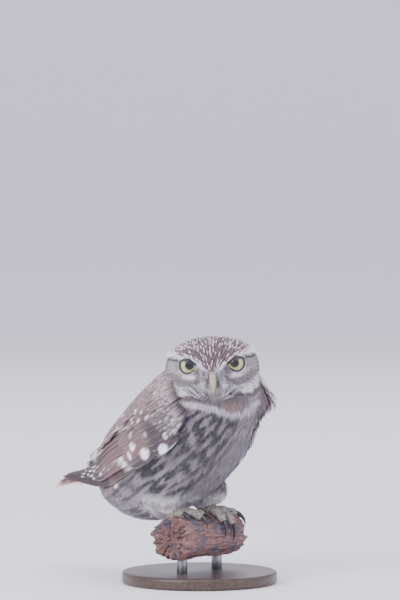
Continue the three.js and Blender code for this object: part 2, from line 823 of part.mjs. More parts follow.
let head = above(flesh(0), NECK_HIGH, GAP / 2).add(lidForm(-1)).add(lidForm(1));
for (const side of [-1, 1]) head = head.subtract(eyeForm(side, GAP)).subtract(wingBed(side));
head = head.subtract(billForm(UPPER_BILL, 8, GAP)).subtract(billForm(LOWER_BILL, 6, GAP));
addNode("head", head, FINISH.feather);

addNode("eye_right", eyeForm(-1, 0), FINISH.eye);
addNode("eye_left", eyeForm(1, 0), FINISH.eye);
const upperBill = billForm(UPPER_BILL, 8).subtract(nostrilForm(-1)).subtract(nostrilForm(1));
addNode("upper_bill", upperBill, FINISH.horn);
addNode("lower_bill", billForm(LOWER_BILL, 6).subtract(billForm(UPPER_BILL, 8, GAP)), FINISH.horn);

addNode("wing_right", wingSolid(-1), FINISH.flight);
addNode("wing_left", wingSolid(1), FINISH.flight);
addNode("tail", tailSolid().subtract(flesh(GAP)), FINISH.flight);

for (const [name, leg] of legs) {
  addNode("thigh_" + name, thighForm(leg, 0).subtract(shankForm(leg, GAP)).subtract(perchForm(GAP)), FINISH.feather);
  addNode("shank_" + name, shankForm(leg, 0).subtract(perchForm(GAP)), FINISH.feather);
  let foot = padForm(leg);
  for (const toe of leg.toes) foot = foot.add(toeForm(toe));
  foot = foot.subtract(perchForm(GAP)).subtract(shankForm(leg, GAP)).subtract(thighForm(leg, GAP));
  foot = foot.subtract(trunkForm(GAP));
  for (const toe of leg.toes) {
    foot = foot.subtract(clawForm(toe, GAP));
    addNode("claw_" + name + "_" + toe.name, clawForm(toe, 0).subtract(perchForm(GAP)), FINISH.claw);
  }
  addNode("foot_" + name, foot, FINISH.skin);
}

let perch = perchForm(0);
let board = turned(
  [
    [BOARD.radius - BOARD.round, 0],
    [BOARD.radius, BOARD.round],
    [BOARD.radius, BOARD.high - BOARD.round],
    [BOARD.radius - BOARD.round, BOARD.high],
  ],
  36,
);
for (const side of [-1, 1]) {
  perch = perch.subtract(rodForm(side, GAP));
  board = board.subtract(rodForm(side, GAP));
  addNode(side < 0 ? "stand_rod_right" : "stand_rod_left", rodForm(side, 0), FINISH.rod);
}
addNode("perch", perch, FINISH.bark);
addNode("stand_base", board, FINISH.board);

export default owl;
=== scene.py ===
import math

import bpy
import numpy as np
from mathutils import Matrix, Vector
from mathutils.bvhtree import BVHTree
from mathutils.kdtree import KDTree


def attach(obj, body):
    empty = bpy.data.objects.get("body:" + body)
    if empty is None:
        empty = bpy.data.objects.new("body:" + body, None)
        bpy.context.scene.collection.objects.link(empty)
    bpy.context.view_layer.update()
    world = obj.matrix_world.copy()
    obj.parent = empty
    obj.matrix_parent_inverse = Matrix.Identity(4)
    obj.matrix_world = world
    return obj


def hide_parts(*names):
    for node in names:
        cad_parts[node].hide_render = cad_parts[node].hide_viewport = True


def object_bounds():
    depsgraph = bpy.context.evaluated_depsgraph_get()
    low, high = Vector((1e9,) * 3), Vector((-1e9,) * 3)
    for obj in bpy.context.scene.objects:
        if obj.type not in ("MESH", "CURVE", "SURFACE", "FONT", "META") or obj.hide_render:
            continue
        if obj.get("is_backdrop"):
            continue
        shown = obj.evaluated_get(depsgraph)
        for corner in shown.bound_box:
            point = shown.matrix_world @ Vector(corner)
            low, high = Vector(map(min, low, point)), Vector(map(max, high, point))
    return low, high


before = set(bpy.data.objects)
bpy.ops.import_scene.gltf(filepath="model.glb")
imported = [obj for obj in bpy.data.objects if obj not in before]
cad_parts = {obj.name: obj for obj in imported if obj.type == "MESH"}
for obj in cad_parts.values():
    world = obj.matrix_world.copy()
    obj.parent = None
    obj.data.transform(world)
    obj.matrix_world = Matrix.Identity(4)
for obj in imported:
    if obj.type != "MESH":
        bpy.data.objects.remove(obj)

cad_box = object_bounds()

# Board of the display stand
# A turned disc of stained beech, 104 mm across and 8 mm thick, with a rounded rim. It lies on the
# floor and takes the two rods in blind holes.

MM = 0.001


def linear(hex_colour):
    """An sRGB hex value as the linear colour that the shader wants."""
    parts = [int(hex_colour[i:i + 2], 16) / 255 for i in (1, 3, 5)]
    return tuple(c / 12.92 if c <= 0.04045 else ((c + 0.055) / 1.055) ** 2.4 for c in parts) + (1.0,)


def add_node(tree, kind, settings=None, links=None):
    """One shader node with its settings, its colour stops under "stops", and its links."""
    made = tree.nodes.new(kind)
    for key, value in (settings or {}).items():
        if key == "stops":
            stops = made.color_ramp.elements
            while len(stops) < len(value):
                stops.new(0.5)
            for stop, (place, colour) in zip(stops, value):
                stop.position = place
                stop.color = linear(colour) if isinstance(colour, str) else (colour, colour, colour, 1)
        elif isinstance(key, str) and hasattr(made, key):
            setattr(made, key, value)
        else:
            made.inputs[key].default_value = value
    for key, socket in (links or {}).items():
        tree.links.new(socket, made.inputs[key])
    return made


def new_material(name, surface):
    """A node material with its shader's values, and the object's own measures in millimetres."""
    material = bpy.data.materials.new(name)
    material.use_nodes = True
    tree = material.node_tree
    shader = tree.nodes["Principled BSDF"]
    for key, value in surface.items():
        shader.inputs[key].default_value = value
    place = add_node(tree, "ShaderNodeTexCoord")
    in_mm = add_node(tree, "ShaderNodeVectorMath", {"operation": "SCALE", "Scale": 1 / MM}, {
        0: place.outputs["Object"],
    })
    return material, tree, shader, in_mm.outputs[0]


def piece(name, points, faces, material, nodes=()):
    """A mesh of points in millimetres that rides on the model and stands for CAD nodes."""
    mesh = bpy.data.meshes.new(name)
    mesh.vertices.add(len(points))
    mesh.vertices.foreach_set("co", (np.asarray(points) * MM).astype(np.float32).ravel())
    groups = [np.asarray(f, np.int32) for f in faces if len(f)]
    corners = np.concatenate([f.ravel() for f in groups])
    sizes = np.concatenate([np.full(len(f), f.shape[1], np.int32) for f in groups])
    mesh.loops.add(len(corners))
    mesh.loops.foreach_set("vertex_index", corners)
    mesh.polygons.add(len(sizes))
    mesh.polygons.foreach_set("loop_start", np.concatenate([[0], np.cumsum(sizes)[:-1]]).astype(np.int32))
    mesh.polygons.foreach_set("use_smooth", np.full(len(sizes), True))
    mesh.update(calc_edges=True)
    mesh.validate()
    mesh.materials.append(material)
    made = bpy.data.objects.new(name, mesh)
    bpy.context.scene.collection.objects.link(made)
    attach(made, "root")
    if nodes:
        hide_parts(*nodes)
    return made


def grid_faces(rows, cols, wrap):
    """Quads over a grid of points laid out row by row; wrap closes each row round."""
    i, j = np.meshgrid(np.arange(rows - 1), np.arange(cols if wrap else cols - 1), indexing="ij")
    a = i * cols + j
    b = i * cols + (j + 1) % cols
    return np.stack([a, b, b + cols, a + cols], -1).reshape(-1, 4)


def closed_loft(rings):
    """Rings of equal count, joined by quads and closed by a fan at each end."""
    rows, cols = rings.shape[:2]
    points = np.concatenate([rings.reshape(-1, 3), rings[[0, -1]].mean(1)])
    j = np.arange(cols)
    end = (rows - 1) * cols
    low = np.stack([(j + 1) % cols, j, np.full(cols, rows * cols)], -1)
    top = np.stack([end + j, end + (j + 1) % cols, np.full(cols, rows * cols + 1)], -1)
    return points, [grid_faces(rows, cols, True), np.concatenate([low, top])]


def turned(profile, around, centre=(0.0, 0.0)):
    """A turned form from rows of radius and height."""
    turn = np.linspace(0, 2 * np.pi, around, endpoint=False)
    rows = np.asarray(profile, float)
    x = centre[0] + rows[:, :1] * np.cos(turn)
    y = centre[1] + rows[:, :1] * np.sin(turn)
    return closed_loft(np.stack([x, y, np.repeat(rows[:, 1:], around, 1)], -1))


BOARD_RADIUS = 52.0
BOARD_HIGH = 8.0
BOARD_ROUND = 2.0
BOARD_ROWS = (30.0, 49.0)

# Beech, turned, stained dark and lacquered: rays and pores 0.5 mm wide run along the grain, and the
# lacquer gives a low, even gloss.
beech, tree, shader, in_mm = new_material("beech_turned_and_stained", {
    "Roughness": 0.42,
    "IOR": 1.5,
    "Coat Weight": 0.3,
    "Coat Roughness": 0.25,
})
along = add_node(tree, "ShaderNodeVectorMath", {"operation": "MULTIPLY", 1: (0.12, 1.1, 1.1)}, {0: in_mm})
grain = add_node(tree, "ShaderNodeTexNoise", {
    "Scale": 0.6,
    "Detail": 6.0,
    "Roughness": 0.6,
    "Distortion": 0.4,
}, {"Vector": along.outputs[0]})
tones = add_node(tree, "ShaderNodeValToRGB", {
    "stops": [(0.3, "#2b201b"), (0.5, "#43322a"), (0.72, "#5a463a")],
}, {"Fac": grain.outputs["Fac"]})
pores = add_node(tree, "ShaderNodeBump", {"Strength": 0.12, "Distance": 0.2 * MM}, {
    "Height": grain.outputs["Fac"],
})
tree.links.new(tones.outputs["Color"], shader.inputs["Base Color"])
tree.links.new(pores.outputs["Normal"], shader.inputs["Normal"])

corner = np.linspace(0, np.pi / 2, 7)
rim_low = [(BOARD_RADIUS - BOARD_ROUND * (1 - math.sin(a)), BOARD_ROUND * (1 - math.cos(a))) for a in corner]
rim_top = [(r, BOARD_HIGH - z) for r, z in reversed(rim_low)]
inner_rows = [(r, 0.0) for r in BOARD_ROWS]
top_rows = [(r, BOARD_HIGH) for r in reversed(BOARD_ROWS)]
points, faces = turned(inner_rows + rim_low + rim_top + top_rows, 144)
board = piece("stand_board", points, faces, beech, ["stand_base"])

# Rods of the display stand
# Two ground steel rods, 7 mm thick, that stand in the board and end inside the limb.

ROD_X = 18.0
ROD_RADIUS = 3.5
ROD_FOOT = 4.0
ROD_TOP = 23.5
ROD_BEVEL = 0.4

# Steel, drawn and brushed round: fine rings 0.2 mm apart, drawn at 0.5 mm to show, spread the gloss
steel, tree, shader, in_mm = new_material("steel_drawn_and_brushed", {
    "Base Color": linear("#8d8f93"),
    "Metallic": 1.0,
})
rings = add_node(tree, "ShaderNodeVectorMath", {"operation": "MULTIPLY", 1: (0.1, 0.1, 2.0)}, {0: in_mm})
brush = add_node(tree, "ShaderNodeTexNoise", {"Scale": 1.0, "Detail": 4.0}, {"Vector": rings.outputs[0]})
gloss = add_node(tree, "ShaderNodeMapRange", {
    "From Min": 0.3, "From Max": 0.7, "To Min": 0.28, "To Max": 0.42,
}, {"Value": brush.outputs["Fac"]})
tree.links.new(gloss.outputs[0], shader.inputs["Roughness"])

profile = [
    (ROD_RADIUS - ROD_BEVEL, ROD_FOOT),
    (ROD_RADIUS, ROD_FOOT + ROD_BEVEL),
    (ROD_RADIUS, ROD_TOP - ROD_BEVEL),
    (ROD_RADIUS - ROD_BEVEL, ROD_TOP),
]
for side, node_name in ((-1, "stand_rod_right"), (1, "stand_rod_left")):
    points, faces = turned(profile, 40, (side * ROD_X, 0.0))
    rod = piece(node_name + "_steel", points, faces, steel, [node_name])

# Perch
# A cut length of dead, weathered limb, flattened on top, with splintered ends, open cracks along the
# grain and a few plates of dark bark left on it. The rods hold it from below.

PERCH_Z = 31.5
PERCH_DEEP = 17.0
PERCH_HIGH = 14.0
PERCH_SQUARE = 2.5
PERCH_HALF = 31.0
PERCH_AROUND = 180
PERCH_ALONG = 120
FIBRE_HIGH = 0.5
CRACK_DEEP = 1.5
BARK_HIGH = 0.7
RELIEF_SINK = 0.6
END_TAPER = 1.4
END_HOLLOW = 2.5
SPLINTER_LONG = 3.2
END_ROUGH = 1.6


def ripple(points, scale, seed, layers=3):
    """Smooth seeded noise from -1 to 1 at points, made of crossing waves of falling size."""
    random = np.random.default_rng(seed)
    total = np.zeros(points.shape[:-1])
    for layer in range(layers):
        for _ in range(5):
            way = random.normal(size=3)
            way /= np.linalg.norm(way)
            wave = points @ way * (2 * np.pi / scale) * 1.9 ** layer * random.uniform(0.7, 1.4)
            total += np.sin(wave + random.uniform(0, 6.28)) * 0.4 * 0.6 ** layer
    return np.clip(total, -1, 1)


def limb_rim(degrees, grow):
    """Place on the limb's round; degrees turn from its top to the front of the bird."""
    c = np.cos(np.radians(degrees))
    s = np.sin(np.radians(degrees))
    power = np.abs(s / PERCH_DEEP) ** PERCH_SQUARE + np.abs(c / PERCH_HIGH) ** PERCH_SQUARE
    reach = power ** (-1 / PERCH_SQUARE) + grow
    return -reach * s, PERCH_Z + reach * c


turn = np.linspace(0, 360, PERCH_AROUND, endpoint=False)
angle, place = np.meshgrid(turn, np.linspace(-1, 1, PERCH_ALONG))
round_part = np.stack([np.cos(np.radians(angle)) * 14, np.sin(np.radians(angle)) * 14, place * 6], -1)
fibres = ripple(round_part, 9.0, 3, 4)
cracks = np.clip(np.abs(ripple(round_part * [1, 1, 0.6], 16.0, 11, 2)) * 6, 0, 1)
bark_plates = np.clip(ripple(round_part * [1, 1, 3.0], 26.0, 5, 3) * 4 - 1.1, 0, 1)
near_end = np.clip((np.abs(place) - 0.86) / 0.14, 0, 1)
grow = FIBRE_HIGH * fibres - CRACK_DEEP * (1 - cracks) + BARK_HIGH * bark_plates - RELIEF_SINK
y, z = limb_rim(angle, grow - END_TAPER * near_end ** 2)
splinter = SPLINTER_LONG * ripple(round_part * [1, 1, 0], 5.0, 21, 3) - 1.4
x = PERCH_HALF * place + np.sign(place) * splinter * near_end
limb_points = np.stack([x, y, z], -1)
middle = np.array([0.0, PERCH_Z])
ends = []
for end in (0, -1):
    rim = limb_points[end]
    out = np.sign(rim[0, 0])
    rows = []
    for k in np.linspace(0.9, 0.08, 12):
        row = rim.copy()
        row[:, 1:] = middle + (rim[:, 1:] - middle) * k
        ragged = ripple(np.concatenate([row[:, 1:], np.full((PERCH_AROUND, 1), 3.0 * end)], 1), 4.5, 31, 3)
        row[:, 0] = rim[:, 0] * k + (1 - k) * out * (PERCH_HALF - END_HOLLOW)
        row[:, 0] += out * END_ROUGH * ragged * min(1, (1 - k) * 5)
        rows.append(row)
    ends.append(np.stack(rows))
limb_points = np.concatenate([ends[0][::-1], limb_points, ends[1]])

# Dead wood, weathered and broken: red-brown where it split, grey on old faces, dark in the cracks.
# Fibres are 0.8 mm wide, and the dry surface has no gloss.
wood, tree, shader, in_mm = new_material("dead_wood_weathered_and_broken", {"Roughness": 0.92, "IOR": 1.45})
along = add_node(tree, "ShaderNodeVectorMath", {"operation": "MULTIPLY", 1: (0.14, 1.0, 1.0)}, {0: in_mm})
fibre = add_node(tree, "ShaderNodeTexNoise", {
    "Scale": 1.1,
    "Detail": 7.0,
    "Roughness": 0.62,
    "Distortion": 0.5,
}, {"Vector": along.outputs[0]})
patches = add_node(tree, "ShaderNodeTexNoise", {"Scale": 0.09, "Detail": 3.0, "Roughness": 0.55}, {
    "Vector": in_mm,
})
split_tone = add_node(tree, "ShaderNodeValToRGB", {
    "stops": [(0.28, "#4b3a3a"), (0.45, "#7d5f5c"), (0.6, "#a07a72"), (0.78, "#c2a49b")],
}, {"Fac": fibre.outputs["Fac"]})
old_tone = add_node(tree, "ShaderNodeValToRGB", {
    "stops": [(0.3, "#3c363c"), (0.5, "#645a62"), (0.72, "#8b8189")],
}, {"Fac": fibre.outputs["Fac"]})
share = add_node(tree, "ShaderNodeMapRange", {"From Min": 0.44, "From Max": 0.58}, {
    "Value": patches.outputs["Fac"],
})
tone = add_node(tree, "ShaderNodeMix", {"data_type": "RGBA"}, {
    "Factor": share.outputs[0],
    6: split_tone.outputs["Color"],
    7: old_tone.outputs["Color"],
})
depth = add_node(tree, "ShaderNodeBump", {"Strength": 0.7, "Distance": 0.6 * MM}, {
    "Height": fibre.outputs["Fac"],
})
tree.links.new(tone.outputs[2], shader.inputs["Base Color"])
tree.links.new(depth.outputs["Normal"], shader.inputs["Normal"])

points, faces = closed_loft(limb_points)
limb = piece("perch_limb", points, faces, wood, ["perch"])

# Skin of the bird
# One closed skin under all the feathers: trunk, neck, head, thighs and shanks. It lies inside the
# outline by the depth of the coat and carries the coat's markings, so that no gap shows bare.

PITCH = math.radians(40)
MIDDLE_Y = 17.5
MIDDLE_Z = 90.5
# Place along the body's axis, half width, upper edge, lower edge
TRUNK = [
    [-69, 5, 19, 9],
    [-65, 15, 26, -6],
    [-57, 22, 31, -19],
    [-46, 26.5, 33, -30],
    [-32, 30.5, 35.5, -35],
    [-16, 32.5, 37, -38],
    [0, 33.5, 38.5, -39.5],
    [18, 35, 39.5, -39],
    [34, 35.5, 39.5, -36.5],
    [46, 34, 38.5, -32],
    [57, 30, 35.5, -27],
    [66, 25.5, 31, -21],
    [72, 20, 26, -14],
    [76, 9, 16, -4],
]
# Height, middle to the face's left and forward of the stand's middle, half width, half depth
NECK = [
    [100, 2.3, 1.9, 31.5, 30.5],
    [112, 4.5, 4, 39, 34.5],
    [122, 6.8, 5.5, 43, 35],
    [131, 7.8, 6, 38.5, 33],
    [140, 8.6, 8.2, 33.5, 30],
    [148, 8.7, 9.9, 26, 26],
]
HEAD_MIDDLE = np.array([-2, -12.9, 143.4])
HEAD_YAW = math.radians(50)
HEAD_ROLL = math.radians(3)
HEAD_HALF = 32.5
HEAD_CROWN = 23.5
HEAD_CHIN = 30.0
HEAD_FRONT = 26.0
HEAD_BACK = 28.0
HEAD_SQUARE = 2.3
EYE_APART = 15.8
EYE_UP = 5.3
EYE_FORE = 14.0
EYE_RADIUS = 8.3
# Degrees round from the bill's side over the top, reach of the eye's opening from the eye's middle
OPENING = [
    (0, 5.7), (20, 4.6), (40, 4.1), (62, 4.0), (90, 4.2), (115, 4.6), (137, 5.5), (155, 5.4),
    (180, 5.25), (225, 4.85), (250, 4.6), (270, 4.35), (295, 4.0), (320, 4.05), (350, 5.9),
]
# The brow's lower edge over the face: distance from its middle, height
BROW_LINE = [
    (0, 0.4), (3, 1), (5, 2.4), (7.3, 4.3), (10, 6.6), (13.2, 9.2), (16, 10.3), (20, 10.9),
    (26, 11.5), (32, 11),
]
FORE = np.array([-math.sin(HEAD_YAW), -math.cos(HEAD_YAW), 0.0])
LEVEL = np.array([math.cos(HEAD_YAW), -math.sin(HEAD_YAW), 0.0])
UPRIGHT = np.array([0.0, 0.0, 1.0])
RIGHT = LEVEL * math.cos(HEAD_ROLL) + UPRIGHT * math.sin(HEAD_ROLL)
RISE = UPRIGHT * math.cos(HEAD_ROLL) - LEVEL * math.sin(HEAD_ROLL)
TAILWARD = np.array([0.0, math.cos(PITCH), -math.sin(PITCH)])
SHANKS = [([-15, 30, 55], [-13, 8, 49.5]), ([16, 22, 56], [14, 0, 50])]
THIGHS = [([-15, 20, 57.5], [11, 17, 10]), ([16, 4, 61], [10, 14, 11])]
# Place along the axis, half width, middle, half height of the body under the wing
WING_BASE = [
    [-90, 12, 40, 4.5],
    [-78, 17, 30, 8.5],
    [-70, 20, 20.5, 14.5],
    [-60, 22.5, 9, 25],
    [-46, 26.5, 1.25, 31.75],
    [-32, 30.5, 0.25, 35.25],
    [-16, 32.5, -0.5, 37.5],
    [0, 33.5, -0.75, 39.25],
    [18, 35, 0.25, 39.25],
    [34, 35.5, 1.5, 38],
    [50, 34.5, 3, 34.5],
]
# Place along the axis, the wing's upper and lower edge in degrees from the middle of the back
WING_EDGES = [
    [-60, 13, 82],
    [-46, 9, 89],
    [-20, 8, 98],
    [5, 8, 103],
    [20, 14, 107],
    [33, 36, 109],
    [44, 64, 104],
]
# Place along the axis, height of the wing's flesh over the wing's bed
WING_CORE = [[-60, 0.1], [-48, -1.2], [-30, -1.4], [-12, 0.2], [6, 2], [22, 3.2], [36, 2.6], [44, 0.6]]
# Depth of the coat over trunk and neck, head and thighs; thickness of the shanks at heel and ankle
TRUNK_DEPTH = 2.6
HEAD_DEPTH = 1.6
THIGH_DEPTH = 1.6
SHANK_RADII = (4.2, 3.4)
SKIN_VOXEL = 0.9


def smooth_row(table, at):
    """Smooth reading of a table of rows [place, values...] at many places."""
    rows = np.asarray(table, float)
    x, values = rows[:, 0], rows[:, 1:]
    slopes = np.empty_like(values)
    slopes[1:-1] = (values[2:] - values[:-2]) / (x[2:] - x[:-2])[:, None]
    slopes[0] = (values[1] - values[0]) / (x[1] - x[0])
    slopes[-1] = (values[-1] - values[-2]) / (x[-1] - x[-2])
    at = np.clip(np.asarray(at, float), x[0], x[-1])
    i = np.clip(np.searchsorted(x, at, side="right") - 1, 0, len(x) - 2)
    span = (x[i + 1] - x[i])[..., None]
    u = ((at - x[i]) / (x[i + 1] - x[i]))[..., None]
    start = (2 * u ** 3 - 3 * u ** 2 + 1) * values[i] + (u ** 3 - 2 * u ** 2 + u) * span * slopes[i]
    end = (3 * u ** 2 - 2 * u ** 3) * values[i + 1] + (u ** 3 - u ** 2) * span * slopes[i + 1]
    return start + end


def body_point(x, s, off):
    """Point beside the body's axis: across, along it towards the head, and off it upwards."""
    y = MIDDLE_Y - math.cos(PITCH) * s + math.sin(PITCH) * off
    z = MIDDLE_Z + math.sin(PITCH) * s + math.cos(PITCH) * off
    return np.stack(np.broadcast_arrays(x, y, z), -1)


def head_point(right, up, fore):
    """Point of the head: to the viewer's right, up, and forward of its middle."""
    right, up, fore = (np.asarray(v, float)[..., None] for v in (right, up, fore))
    return HEAD_MIDDLE + right * RIGHT + up * RISE + fore * FORE


def head_place(points):
    """The head's own measures of points: right, up, fore."""
    rel = points - HEAD_MIDDLE
    return rel @ RIGHT, rel @ RISE, rel @ FORE


def axis_place(points):
    """Place of points along the body's axis, and off it upwards."""
    y = points[..., 1] - MIDDLE_Y
    z = points[..., 2] - MIDDLE_Z
    return -math.cos(PITCH) * y + math.sin(PITCH) * z, math.sin(PITCH) * y + math.cos(PITCH) * z


def body_place(points):
    """The body's own measures of points: place along the axis and degrees from the back's middle."""
    s, off = axis_place(points)
    row = smooth_row(TRUNK, s)
    centre, high = (row[..., 1] + row[..., 2]) / 2, (row[..., 1] - row[..., 2]) / 2
    return s, np.degrees(np.arctan2(points[..., 0] / row[..., 0], (off - centre) / high))


def line_distance(right, up, line):
    """Distance from places on a flat measure to a line of points."""
    best = np.full(np.shape(right), 1e9)
    for (ax, ay), (bx, by) in zip(line, line[1:]):
        t = (right - ax) * (bx - ax) + (up - ay) * (by - ay)
        t = np.clip(t / ((bx - ax) ** 2 + (by - ay) ** 2), 0, 1)
        best = np.minimum(best, np.hypot(right - ax - t * (bx - ax), up - ay - t * (by - ay)))
    return best


def brow_height(right):
    """Height of the brow line over the face, by distance from its middle."""
    return np.interp(np.abs(right), *np.array(BROW_LINE).T)


def opening_reach(inward, up):
    """Reach of the eye's opening from the eye's middle, in the direction of a place beside it."""
    return np.interp(np.degrees(np.arctan2(up, inward)) % 360, *np.array(OPENING).T, period=360)


def from_eye(right, up):
    """Distance of places on the face from the eye's middle, as a share of the opening there."""
    inward, over = EYE_APART - np.abs(right), up - EYE_UP
    return np.hypot(inward, over) / opening_reach(inward, over)


def eye_distance(right, up):
    """Distance of places on the face from the middle of the nearer eye, in millimetres."""
    return np.hypot(np.abs(right) - EYE_APART, up - EYE_UP)


def soft_step(low, high, value):
    """0 below low, 1 above high, smooth between."""
    t = np.clip((value - low) / (high - low), 0, 1)
    return t * t * (3 - 2 * t)


def swelling(across, up, at_across, at_up, wide, high):
    """A round swelling, 1 at its middle and falling off smoothly."""
    return np.exp(-(((across - at_across) / wide) ** 2 + ((up - at_up) / high) ** 2) / 2)


def trunk_rings(inset):
    ease = 0.5 - 0.5 * np.cos(np.linspace(0, np.pi, 60))
    s = TRUNK[0][0] + inset + (TRUNK[-1][0] - TRUNK[0][0] - 2 * inset) * ease
    row = smooth_row(TRUNK, s)[:, None]
    turn = np.linspace(0, 2 * np.pi, 72, endpoint=False)
    half = np.maximum(row[..., 0] - inset, 1)
    high = np.maximum((row[..., 1] - row[..., 2]) / 2 - inset, 1)
    return body_point(half * np.sin(turn), s[:, None], (row[..., 1] + row[..., 2]) / 2 + high * np.cos(turn))


def neck_rings(inset):
    z = np.linspace(NECK[0][0], NECK[-1][0], 24)
    row = smooth_row(NECK, z)[:, None]
    turn = np.linspace(0, 2 * np.pi, 64, endpoint=False)
    left = (row[..., 0] + (row[..., 2] - inset) * np.cos(turn))[..., None]
    fore = (row[..., 1] - (row[..., 3] - inset) * np.sin(turn))[..., None]
    return UPRIGHT * z[:, None, None] + LEVEL * left + FORE * fore


def head_rings(inset):
    polar = np.linspace(0, np.pi, 62)[1:-1, None]
    even = np.linspace(0, 2 * np.pi, 96, endpoint=False)
    turn = even - 0.35 * np.sin(even)
    way = [np.sin(polar) * np.sin(turn), np.cos(polar), np.sin(polar) * np.cos(turn)]
    way = np.stack(np.broadcast_arrays(*way), -1)
    tall = np.where(way[..., 1] > 0, HEAD_CROWN, HEAD_CHIN)
    deep = np.where(way[..., 2] > 0, HEAD_FRONT, HEAD_BACK)
    power = np.abs(way[..., 0] / HEAD_HALF) ** HEAD_SQUARE
    power = power + np.abs(way[..., 1] / tall) ** HEAD_SQUARE + np.abs(way[..., 2] / deep) ** HEAD_SQUARE
    at = way * (power ** (-1 / HEAD_SQUARE) - inset)[..., None]
    across, up = np.abs(at[..., 0]), at[..., 1]
    relief = 4.2 * np.exp(-((line_distance(across, up - 1.3, BROW_LINE) / 1.9) ** 2) / 2)
    relief = relief - 3.6 * swelling(across, up, EYE_APART, EYE_UP - 1.5, 7.0, 5.8)
    relief = relief + 2.4 * swelling(across, up, 0, -5, 4, 8) + 2.2 * swelling(across, up, 12, -13, 7, 5)
    relief = relief - 3.2 * swelling(across, up, 0, -17, 6, 4.5)
    facing = soft_step(0, 14, at[..., 2])
    fore = at[..., 2] + relief * facing
    opening = facing * soft_step(1.3, 1.1, from_eye(across, up))
    return head_point(at[..., 0], up, fore + (np.minimum(fore, EYE_FORE + 1) - fore) * opening)


def egg_rings(centre, size):
    polar = np.linspace(0, np.pi, 22)[1:-1, None]
    turn = np.linspace(0, 2 * np.pi, 36, endpoint=False)
    way = [np.sin(polar) * np.cos(turn), np.sin(polar) * np.sin(turn), np.cos(polar)]
    return np.asarray(centre) + np.stack(np.broadcast_arrays(*way), -1) * np.asarray(size)


def unit(vectors, least=0.0):
    """Vectors brought to length one."""
    return vectors / np.maximum(np.linalg.norm(vectors, axis=-1, keepdims=True), least)


def tube_rings(path, radii, around, side=(1.0, 0.0, 0.0)):
    """Rings round a path of points, with a radius for each."""
    path = np.asarray(path, float)
    run = unit(np.gradient(path, axis=0))
    across = unit(np.asarray(side) - run * (run @ np.asarray(side))[:, None])
    rise = np.cross(run, across)
    turn = np.linspace(0, 2 * np.pi, around, endpoint=False)[:, None]
    radii = np.asarray(radii, float).reshape(len(path), -1)
    wide, high = radii[:, :1, None], radii[:, -1:, None]
    return path[:, None] + wide * np.cos(turn) * across[:, None] + high * np.sin(turn) * rise[:, None]


def shank_path(heel, ankle, count):
    t = np.linspace(0, 1, count)[:, None]
    return np.asarray(heel) + (np.asarray(ankle, float) - heel) * t - UPRIGHT * 2 * np.sin(np.pi * t)


def wing_point(side, s, degrees, height):
    """Point over the folded wing's bed."""
    row = smooth_row(WING_BASE, s)
    turn = np.radians(degrees)
    x = side * (row[..., 0] + height) * np.sin(turn)
    return body_point(x, s, row[..., 1] + (row[..., 2] + height) * np.cos(turn))


def wing_arm_rings(side):
    """Flesh of the folded wing, from its front edge back under the coverts."""
    s = np.linspace(-58, 43, 40)[:, None]
    upper, lower = np.moveaxis(smooth_row(WING_EDGES, s), -1, 0)
    core = smooth_row(WING_CORE, s)[..., 0]
    v = np.linspace(0, 1, 26)
    outer = wing_point(side, s, upper + 2 + (lower - upper - 4) * v, core - 1.0 - 2.2 * (2 * v - 1) ** 4)
    inner = wing_point(side, s, upper + 2 + (lower - upper - 4) * v[::-1], np.full_like(s, -5.0))
    return np.concatenate([outer, inner], 1)


def joined(forms):
    """Closed lofts of rings as one: all points, then the quads and the triangles of the ends."""
    points, quads, ends, count = [], [], [], 0
    for rings in forms:
        form_points, (form_quads, form_ends) = closed_loft(rings)
        points.append(form_points)
        quads.append(form_quads + count)
        ends.append(form_ends + count)
        count += len(form_points)
    return np.concatenate(points), [np.concatenate(quads), np.concatenate(ends)]


def painted_material(name, surface, tones, scale=1.0, detail=3.0, seen=(0.3, 0.7), barbs=None):
    """A material that takes the colour painted at each point and varies it with fine noise.

    The noise follows the object's millimetres, or a feather's own length and width with barbs."""
    material, tree, shader, place = new_material(name, surface)
    if barbs:
        barb_place = add_node(tree, "ShaderNodeUVMap", {"uv_map": "Barbs"})
        drawn_out = add_node(tree, "ShaderNodeVectorMath", {"operation": "MULTIPLY", 1: barbs}, {
            0: barb_place.outputs[0],
        })
        place = drawn_out.outputs[0]
    colour = add_node(tree, "ShaderNodeAttribute", {"attribute_name": "plumage"})
    mottle = add_node(tree, "ShaderNodeTexNoise", {"Scale": scale, "Detail": detail}, {"Vector": place})
    shade = add_node(tree, "ShaderNodeMapRange", {
        "From Min": seen[0], "From Max": seen[1], "To Min": tones[0], "To Max": tones[1],
    }, {"Value": mottle.outputs["Fac"]})
    mixed = add_node(tree, "ShaderNodeMix", {"data_type": "RGBA", "blend_type": "MULTIPLY", "Factor": 1.0}, {
        6: colour.outputs["Color"],
        7: shade.outputs[0],
    })
    tree.links.new(mixed.outputs[2], shader.inputs["Base Color"])
    return material


flesh_forms = [trunk_rings(TRUNK_DEPTH), neck_rings(TRUNK_DEPTH), head_rings(HEAD_DEPTH)]
flesh_forms += [wing_arm_rings(-1), wing_arm_rings(1)]
for centre, size in THIGHS:
    flesh_forms.append(egg_rings(centre, np.array(size) - THIGH_DEPTH))
for heel, ankle in SHANKS:
    flesh_forms.append(tube_rings(shank_path(heel, ankle, 12), np.linspace(*SHANK_RADII, 12), 24))

